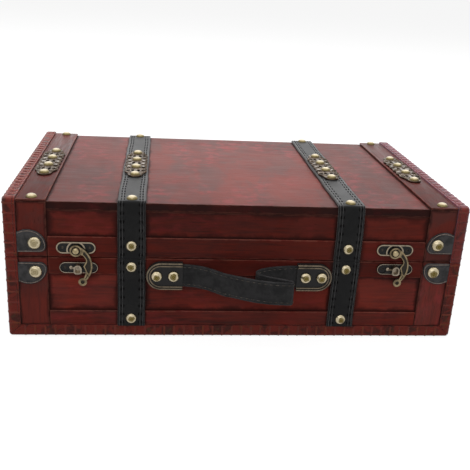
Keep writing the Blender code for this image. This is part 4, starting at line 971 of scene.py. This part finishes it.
places = handle_route()
show(rounded_ends(sweep("handle_strap_leather", places, (0, 0, -1), HANDLE_SECTION, HANDLE_WIDTH, HANDLE_LEATHER)),
     "base", "black_leather", "handle_strap")
show(stitch_rows("handle_stitches", places[10:-10], (0, 0, -1), HANDLE_ROWS, HANDLE_THICKNESS / 2 * 0.80,
                 HANDLE_STITCH_PITCH, HANDLE_STITCH, LIGHT_THREAD, 6, HANDLE_STITCH_MARGIN), "base", "black_leather")


# Corner patches

PATCH_TOE_ROUND, PATCH_SOFTENING = 0.0048, 0.0004
PATCH_LINE_INSET, PATCH_LINE_RADIUS = 0.0009, 0.00024
CORNER_TACK_RADIUS, CORNER_TACK_INSET, CORNER_TACK_RISE = 0.0048, 0.0122, 0.0071


def patch_loop(side, up, width, height):
    """A tongue from the edging towards the middle, flat along the seam and rounded away from it."""
    reach = height * 0.75
    toe = arc((width - PATCH_TOE_ROUND, PATCH_TOE_ROUND), PATCH_TOE_ROUND, -90, 0, 6)
    crown = [oval((width - reach, PATCH_TOE_ROUND), reach, height - PATCH_TOE_ROUND, angle)
             for angle in [*range(8, 120, 8), 122]]
    points = [(0, 0)] + toe + crown + [(0, crown[-1][1])]
    points = [(-side * across, up * tall) for across, tall in points]
    return points if side * up < 0 else points[::-1]


CORNER_TACKS = {"lid": [], "base": []}
for deck, up in (("lid", 1), ("base", -1)):
    for name, side in SIDES:
        node = f"{deck}_corner_patch_{name}"
        low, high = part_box(node)
        outer, flat = high.x if side > 0 else low.x, low.z if up > 0 else high.z
        loop = patch_loop(side, up, high.x - low.x, high.z - low.z)
        face = -SLAT_FACE - GAP - PATCH_THICKNESS
        show(flat_piece(f"{node}_leather", loop, PATCH_THICKNESS, (outer, -SLAT_FACE - GAP, flat), ON_FRONT,
                        PATCH_SOFTENING, PATCH_LEATHER), deck, "black_leather", node)
        line = [(outer + across, face, flat + tall) for across, tall in inset_loop(loop, PATCH_LINE_INSET)]
        show(raised_lines(f"{node}_edge_line", [line], PATCH_LINE_RADIUS, PATCH_LINE), deck, "black_leather")
        CORNER_TACKS[deck].append(((outer - side * CORNER_TACK_INSET, face, flat + up * CORNER_TACK_RISE), OUT,
                                   CORNER_TACK_RADIUS))


# Rubbed rim of the keepers

KEEPER_RIM_SHARES, KEEPER_RIM_RADIUS = (0.975, 0.94), 0.00030


def keeper_rim(name):
    """A line round a keeper, just inside its rim."""
    low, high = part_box(f"latch_keeper_{name}")
    middle = (low + high) / 2
    lobe = (high.x - low.x) / 2 - KEEPER_LOBE
    loop = arc((lobe, 0), KEEPER_LOBE, -90, 90, 10) + arc((-lobe, 0), KEEPER_LOBE, 90, 270, 10)
    wide, tall = KEEPER_RIM_SHARES
    return [(middle.x + across * wide, high.y - KEEPER_THICKNESS, middle.z + up * tall)
            for across, up in loop + loop[:1]]


for name, side in SIDES:
    show(raised_lines(f"latch_keeper_{name}_rim", [keeper_rim(name)], KEEPER_RIM_RADIUS, KEEPER_LINE), "base",
         "dark_bronze")


# Strips along the ends of the top

def plank(name, low, high, round_edge, material):
    """A strip of wood with rounded edges."""
    bm = bmesh.new()
    bmesh.ops.create_cube(bm, size=1)
    bmesh.ops.scale(bm, vec=high - low, verts=bm.verts)
    bmesh.ops.translate(bm, vec=(low + high) / 2, verts=bm.verts)
    bmesh.ops.bevel(bm, geom=bm.edges, offset=round_edge, segments=3, affect="EDGES", profile=0.5)
    return linked(from_bmesh(name, bm, material))


STRIP = {"Contrast": 0.4, "Tone": 0.80, "Flecks": 0.2, "Haze": 0.9}
for name, side in SIDES:
    low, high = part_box(f"top_strip_{name}")
    high = Vector((high.x, high.y, low.z + SLAT_THICKNESS))
    material = wood(f"wood_top_strip_{name}", "y", low, high, STRIP)
    show(plank(f"top_strip_wood_{name}", low, high, SLAT_SOFTENING, material), "lid", "stained_wood",
         f"top_strip_{name}")


# Pierced ornament plates

ORNAMENT_BODY, ORNAMENT_WIDTH, NOSE_RADIUS = 0.056, 0.0180, 0.0057
ORNAMENT_TACKS, ORNAMENT_PITCH = 4, 0.0228
SCALLOPS, SCALLOP_STEPS, SCALLOP_DEPTH = 6, 8, 0.0014
EYELET_RADIUS = 0.0019
PETAL_ASIDE, PETAL_HALF_WIDTH, PETAL_HALF_LENGTH = 0.0024, 0.0013, 0.0028
CURL_RADIUS, CURL_NARROWING, CURL_ASIDE, CURL_ALONG = 0.0048, 0.0034, 0.0034, 0.0052
CURL_HEIGHT, CURL_FLATTENING = 0.0042, 0.0030
CURL_STEPS, CURL_TURN = 20, 17
TACK_RING_RADIUS, CURL_LINE_RADIUS = 0.0049, 0.00026
ORNAMENT_SOFTENING = 0.00022
SHADE_SHEET_INSET, SHADE_SHEET_THICKNESS, SHADE_SHEET_SOFTENING = 0.0008, 0.00025, 0.00005
BEAD_INSET, BEAD_PITCH = 0.00055, 0.00125
BEAD_PROFILE = ((0, -0.0002), (0.0003, -0.0002), (0.00045, 0.0), (0.0003, 0.00034), (0, 0.00045))
TACK_PLACES = [(index - (ORNAMENT_TACKS - 1) / 2) * ORNAMENT_PITCH for index in range(ORNAMENT_TACKS)]
GAP_PLACES = [(index - 1) * ORNAMENT_PITCH for index in range(ORNAMENT_TACKS - 1)]


def ornament_outline():
    """Scalloped long sides between two shoulders, and a round nose about each end tack."""
    half_width, steps = ORNAMENT_WIDTH / 2 - SCALLOP_DEPTH, SCALLOPS * SCALLOP_STEPS
    upper = [(half_width + SCALLOP_DEPTH * abs(math.sin(math.pi * step / SCALLOP_STEPS)),
              ORNAMENT_BODY * (step / steps - 0.5)) for step in range(steps + 1)]
    upper += arc((0, TACK_PLACES[-1]), NOSE_RADIUS, -20, 200, 22)
    return upper + [(-across, -along) for across, along in upper]


def ornament_holes():
    """A row of eyelets along each side and a pair of petals between neighbouring tacks."""
    aside = ORNAMENT_WIDTH / 2 - 2 * SCALLOP_DEPTH
    eyelets = [arc((side * aside, ORNAMENT_BODY * ((index + 0.5) / SCALLOPS - 0.5)), EYELET_RADIUS, 0, 360, 14)[:-1]
               for index in range(SCALLOPS) for side in (-1, 1)]
    petals = [[oval((side * PETAL_ASIDE, along), PETAL_HALF_WIDTH, PETAL_HALF_LENGTH, angle)
               for angle in range(0, 360, 24)] for along in GAP_PLACES for side in (-1, 1)]
    return eyelets + petals


def scroll_runs():
    """Raised curls between the tacks and a ring round each tack, as (across, along) runs."""
    curls = [[oval((side * CURL_ASIDE, along + end * CURL_ALONG),
                   side * (CURL_RADIUS - CURL_NARROWING * step / CURL_STEPS),
                   end * (CURL_HEIGHT - CURL_FLATTENING * step / CURL_STEPS) / 2, step * CURL_TURN - 90)
              for step in range(CURL_STEPS + 1)] for along in GAP_PLACES for side in (-1, 1) for end in (-1, 1)]
    return curls + [arc((0, along), TACK_RING_RADIUS, 0, 360, 28) for along in TACK_PLACES]


def ornament_plate(name, place):
    """The pierced plate with softened edges."""
    loops = [[(*spot, 0) for spot in loop] for loop in [ornament_outline()] + ornament_holes()]
    mesh = worked_out(polylines(
        name, loops, True, fill_mode="BOTH", extrude=ORNAMENT_THICKNESS / 2 - ORNAMENT_SOFTENING,
        bevel_depth=ORNAMENT_SOFTENING, bevel_resolution=1, offset=-ORNAMENT_SOFTENING), name)
    bm = bmesh.new()
    bm.from_mesh(mesh)
    bpy.data.meshes.remove(mesh)
    bmesh.ops.remove_doubles(bm, verts=bm.verts, dist=0.00001)
    bmesh.ops.translate(bm, vec=place, verts=bm.verts)
    return linked(from_bmesh(name, bm, FILIGREE))


BEAD = lathe("fine_bead", BEAD_PROFILE, 6)
ORNAMENTS = [(name, across, seat, middle_of(f"ornament_{name}").y) for name, across, seat in (
    ("strip_left", -STRIP_X, STRIP_TOP), ("strap_left", -STRAP_X, STRAP_TOP),
    ("strap_right", STRAP_X, STRAP_TOP), ("strip_right", STRIP_X, STRIP_TOP))]
for name, across, seat, shift in ORNAMENTS:
    floor = seat + GAP
    top = floor + ORNAMENT_THICKNESS
    show(ornament_plate(f"ornament_plate_{name}", (across, shift, floor + ORNAMENT_THICKNESS / 2)), "lid",
         "dark_bronze", f"ornament_{name}")
    runs = [[(across + aside, along + shift, top) for aside, along in run] for run in scroll_runs()]
    show(raised_lines(f"ornament_curls_{name}", runs, CURL_LINE_RADIUS, FILIGREE), "lid", "dark_bronze")
    shade_sheet, rim = (inset_loop(ornament_outline(), inset) for inset in (SHADE_SHEET_INSET, BEAD_INSET))
    # A thin dark sheet under the plate: painted shade in its holes.
    show(flat_piece(f"ornament_recess_{name}", shade_sheet, SHADE_SHEET_THICKNESS, (across, shift, floor - GAP * 0.8), ON_TOP,
                    SHADE_SHEET_SOFTENING, ORNAMENT_SHADE_SHEET), "lid", "dark_bronze")
    rim_run = [(across + aside, along + shift, top) for aside, along in rim + rim[:1]]
    show(along_runs(f"ornament_beads_{name}", [rim_run], BEAD_PITCH, (1, 0, 0), BEAD, FILIGREE, 2, 0.05), "lid",
         "dark_bronze")


# Tacks

TACK_INSET = 0.0042
LID_STRAP_TACK_RISE, BASE_STRAP_TACK_DROP, LOW_TACK_RISE = 0.0098, 0.006, 0.0063
HANDLE_RIVET_RADIUS, HANDLE_RIVET_HEAD = 0.0042, 0.0021


def tacks(name, rows, body, seed, *replaced):
    """Dome heads on the given places, each turned a little differently."""
    show(on_places(name, rows, TACK, BRASS, seed, 0.015), body, "aged_brass", *replaced)


for side in (-1, 1):
    for toward in (-1, 1):
        for across, seat in ((STRAP_X, STRAP_TOP), (STRIP_X, STRIP_TOP)):
            CORNER_TACKS["lid"].append(((side * across, toward * (BOARD_Y - TACK_INSET), seat), UP, TACK_RADIUS))
    for body, height in (("lid", LID_FLOOR + LID_STRAP_TACK_RISE), ("base", BASE_TOP - BASE_STRAP_TACK_DROP),
                         ("base", STRAP_FOOT + LOW_TACK_RISE)):
        CORNER_TACKS[body].append(((side * STRAP_X, -STRAP_FACE, height), OUT, TACK_RADIUS))
for name, across, seat, shift in ORNAMENTS:
    CORNER_TACKS["lid"] += [((across, along + shift, seat + GAP + ORNAMENT_THICKNESS), UP, TACK_RADIUS)
                            for along in TACK_PLACES]
RIVET_NODES = [f"handle_rivet_{name}" for name in ("left_inner", "left_outer", "right_inner", "right_outer")]
RIVETS = [((middle_of(node).x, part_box(node)[0].y + HANDLE_RIVET_HEAD, middle_of(node).z), OUT, HANDLE_RIVET_RADIUS)
          for node in RIVET_NODES]
tacks("lid_tack_heads", CORNER_TACKS["lid"], "lid", 11)
tacks("base_tack_heads", CORNER_TACKS["base"], "base", 12)
tacks("handle_rivet_heads", RIVETS, "base", 13, *RIVET_NODES)


# Ribs, grooves and lines of the embossed edging

RIB_PITCH = 0.0073
RIB_REACH, FOOT_RIB_LEG = EDGING_WIDTH - 0.0002, 0.0026
RIB_FROM_TOP, RIB_FROM_SEAM, RIB_FROM_RAIL, RIB_FROM_FOOT, RIB_FROM_END = 0.004, 0.003, 0.002, 0.011, 0.012
GROOVE_ASIDE = 0.0050
LINE_FROM_INNER_EDGE, LINE_RADIUS, LINE_FROM_SEAM, LINE_FROM_FOOT = 0.0016, 0.00026, 0.001, 0.0095
FLOOR_CLEARANCE = 0.00001


def ribs_along(name, runs, side, pattern, body, material=RIB):
    """Ribs at an even pitch along the edging's outer corner, kept above the floor."""
    ribs = along_runs(name, runs, RIB_PITCH, side, pattern, material, 5, 0.0)
    for corner in ribs.data.vertices:
        corner.co.z = max(corner.co.z, FLOOR_CLEARANCE)
    show(ribs, body, "embossed_edging")


FOOT_RIB = rib_pattern("foot_rib_pattern", RIB_REACH, FOOT_RIB_LEG, 1)
for name, side in SIDES:
    pattern = rib_pattern(f"edging_rib_pattern_{name}", RIB_REACH, RIB_REACH, side)
    x, near = side * HALF_WIDTH, HALF_DEPTH - RIB_FROM_TOP
    lid_front = [(x, -HALF_DEPTH, LID_FLOOR + RIB_FROM_SEAM), (x, -HALF_DEPTH, CASE_TOP - RIB_FROM_TOP)]
    base_front = [(x, -HALF_DEPTH, RIB_FROM_FOOT), (x, -HALF_DEPTH, BASE_TOP - RIB_FROM_RAIL)]
    lid_back, base_back = ([(x, HALF_DEPTH, up) for _, _, up in front[::-1]] for front in (lid_front, base_front))
    # The right lid ribs take the copy with the painted reflection.
    ribs_along(f"lid_edging_ribs_{name}", [lid_front, [(x, -near, CASE_TOP), (x, near, CASE_TOP)], lid_back],
               (1, 0, 0), pattern, "lid", RIB_PAINTED_REFLECTION if side > 0 else RIB)
    ribs_along(f"base_edging_ribs_{name}", [base_front, base_back], (1, 0, 0), pattern, "base")
    foot = side * (HALF_DEPTH - RIB_FROM_FOOT)
    ribs_along(f"base_end_foot_ribs_{name}", [[(x, -foot, 0), (x, foot, 0)]], (0, 0, -1), FOOT_RIB, "base")
    middle = x - side * GROOVE_ASIDE
    groove_run = [(middle, -near + RIB_PITCH / 2, CASE_TOP), (middle, near, CASE_TOP)]
    show(along_runs(f"lid_edging_grooves_{name}", [groove_run], RIB_PITCH, (1, 0, 0), GROOVE,
                    FAINT_GROOVE if side > 0 else EDGING_GROOVE, 7, 0.1), "lid", "embossed_edging")
    inset = x - side * (EDGING_WIDTH - LINE_FROM_INNER_EDGE)
    corner = [(inset, EDGING_ROUND - HALF_DEPTH - along, CASE_TOP - EDGING_ROUND + up)
              for along, up in arc((0, 0), EDGING_ROUND, 0, 90, 6)]
    front_line = [(inset, -HALF_DEPTH, LID_FLOOR + LINE_FROM_SEAM)] + corner
    back_line = [(across, -along, up) for across, along, up in front_line[::-1]]
    base_lines = [[(inset, end, BASE_TOP - LINE_FROM_SEAM), (inset, end, LINE_FROM_FOOT)]
                  for end in (-HALF_DEPTH, HALF_DEPTH)]
    for body, lines in (("lid", [front_line + back_line]), ("base", base_lines)):
        show(raised_lines(f"{body}_edging_line_{name}", lines, LINE_RADIUS, EDGING_LINE), body, "embossed_edging")
end = HALF_WIDTH - RIB_FROM_END
ribs_along("base_foot_ribs", [[(-end, -HALF_DEPTH, 0), (end, -HALF_DEPTH, 0)],
                              [(end, HALF_DEPTH, 0), (-end, HALF_DEPTH, 0)]], (0, 0, -1), FOOT_RIB, "base")


# Camera, light and floor

IMAGE_WIDTH, FOCAL_LENGTH_IN_PIXELS, SENSOR_WIDTH = 470, 716.336, 36
CAMERA_PLACE = (-0.061237, -0.592592, 0.264723)
CAMERA_RIGHT, CAMERA_UP, CAMERA_BACK = ((0.994098, -0.094103, 0.053988), (-0.017565, 0.351455, 0.936040),
                                        (-0.107059, -0.931463, 0.347728))


def seen_rays(net):
    """One for the rays that show the surroundings: straight to the camera, in metal or through glass."""
    rays = net.node("ShaderNodeLightPath").outputs
    camera, glossy, through = (Wire(net, rays[f"Is {kind} Ray"]) for kind in ("Camera", "Glossy", "Transmission"))
    return net.maths("MAXIMUM", net.maths("MAXIMUM", camera, glossy), through)


def pale_floor():
    bm = bmesh.new()
    bmesh.ops.create_grid(bm, x_segments=1, y_segments=1, size=40)
    paint = Paint("pale_floor", specular=0.0)
    paint.feed(paint.shader, {"Base Color": (0.30, 0.30, 0.30, 1), "Roughness": 1.0, "Emission Color": (1, 1, 1, 1),
                              "Emission Strength": seen_rays(paint) * 0.9})
    floor = from_bmesh("floor", bm, paint.material, smooth=False)
    floor.location = (0, 0, -0.0002)
    linked(floor)


def softbox(name, place, target, width, height, power):
    light = bpy.data.lights.new(name, "AREA")
    light.shape = "RECTANGLE"
    light.size, light.size_y = width, height
    light.energy = power
    made = linked(bpy.data.objects.new(name, light))
    made.location = place
    made.rotation_euler = (Vector(target) - Vector(place)).to_track_quat("-Z", "Y").to_euler()
    made.visible_camera = False


def camera():
    data = bpy.data.cameras.new("camera")
    data.sensor_width = SENSOR_WIDTH
    data.lens = FOCAL_LENGTH_IN_PIXELS / IMAGE_WIDTH * SENSOR_WIDTH
    data.clip_start, data.clip_end = 0.01, 50
    made = linked(bpy.data.objects.new("camera", data))
    turn = Matrix((CAMERA_RIGHT, CAMERA_UP, CAMERA_BACK)).transposed()
    made.matrix_world = Matrix.Translation(CAMERA_PLACE) @ turn.to_4x4()
    bpy.context.scene.camera = made


def surroundings():
    world = bpy.data.worlds.new("plain_light")
    bpy.context.scene.world = world
    world.use_nodes = True
    net = Net(world.node_tree)
    net.feed(world.node_tree.nodes["Background"], {"Color": (1, 1, 1, 1),
                                                   "Strength": net.maths("MAXIMUM", seen_rays(net), 0.06)})


pale_floor()
surroundings()
camera()
softbox("back_softbox", (0.3, 1.6, 0.55), (0, 0, 0.05), 3.2, 1.3, 12)
softbox("top_softbox", (-0.1, 0.6, 1.5), (-0.1, 0.6, 0), 3.6, 2.6, 31)
softbox("front_softbox", (-0.5, -1.9, 1.3), (0, 0, 0.05), 2.2, 1.3, 8)
bpy.context.scene.view_settings.view_transform = "Standard"
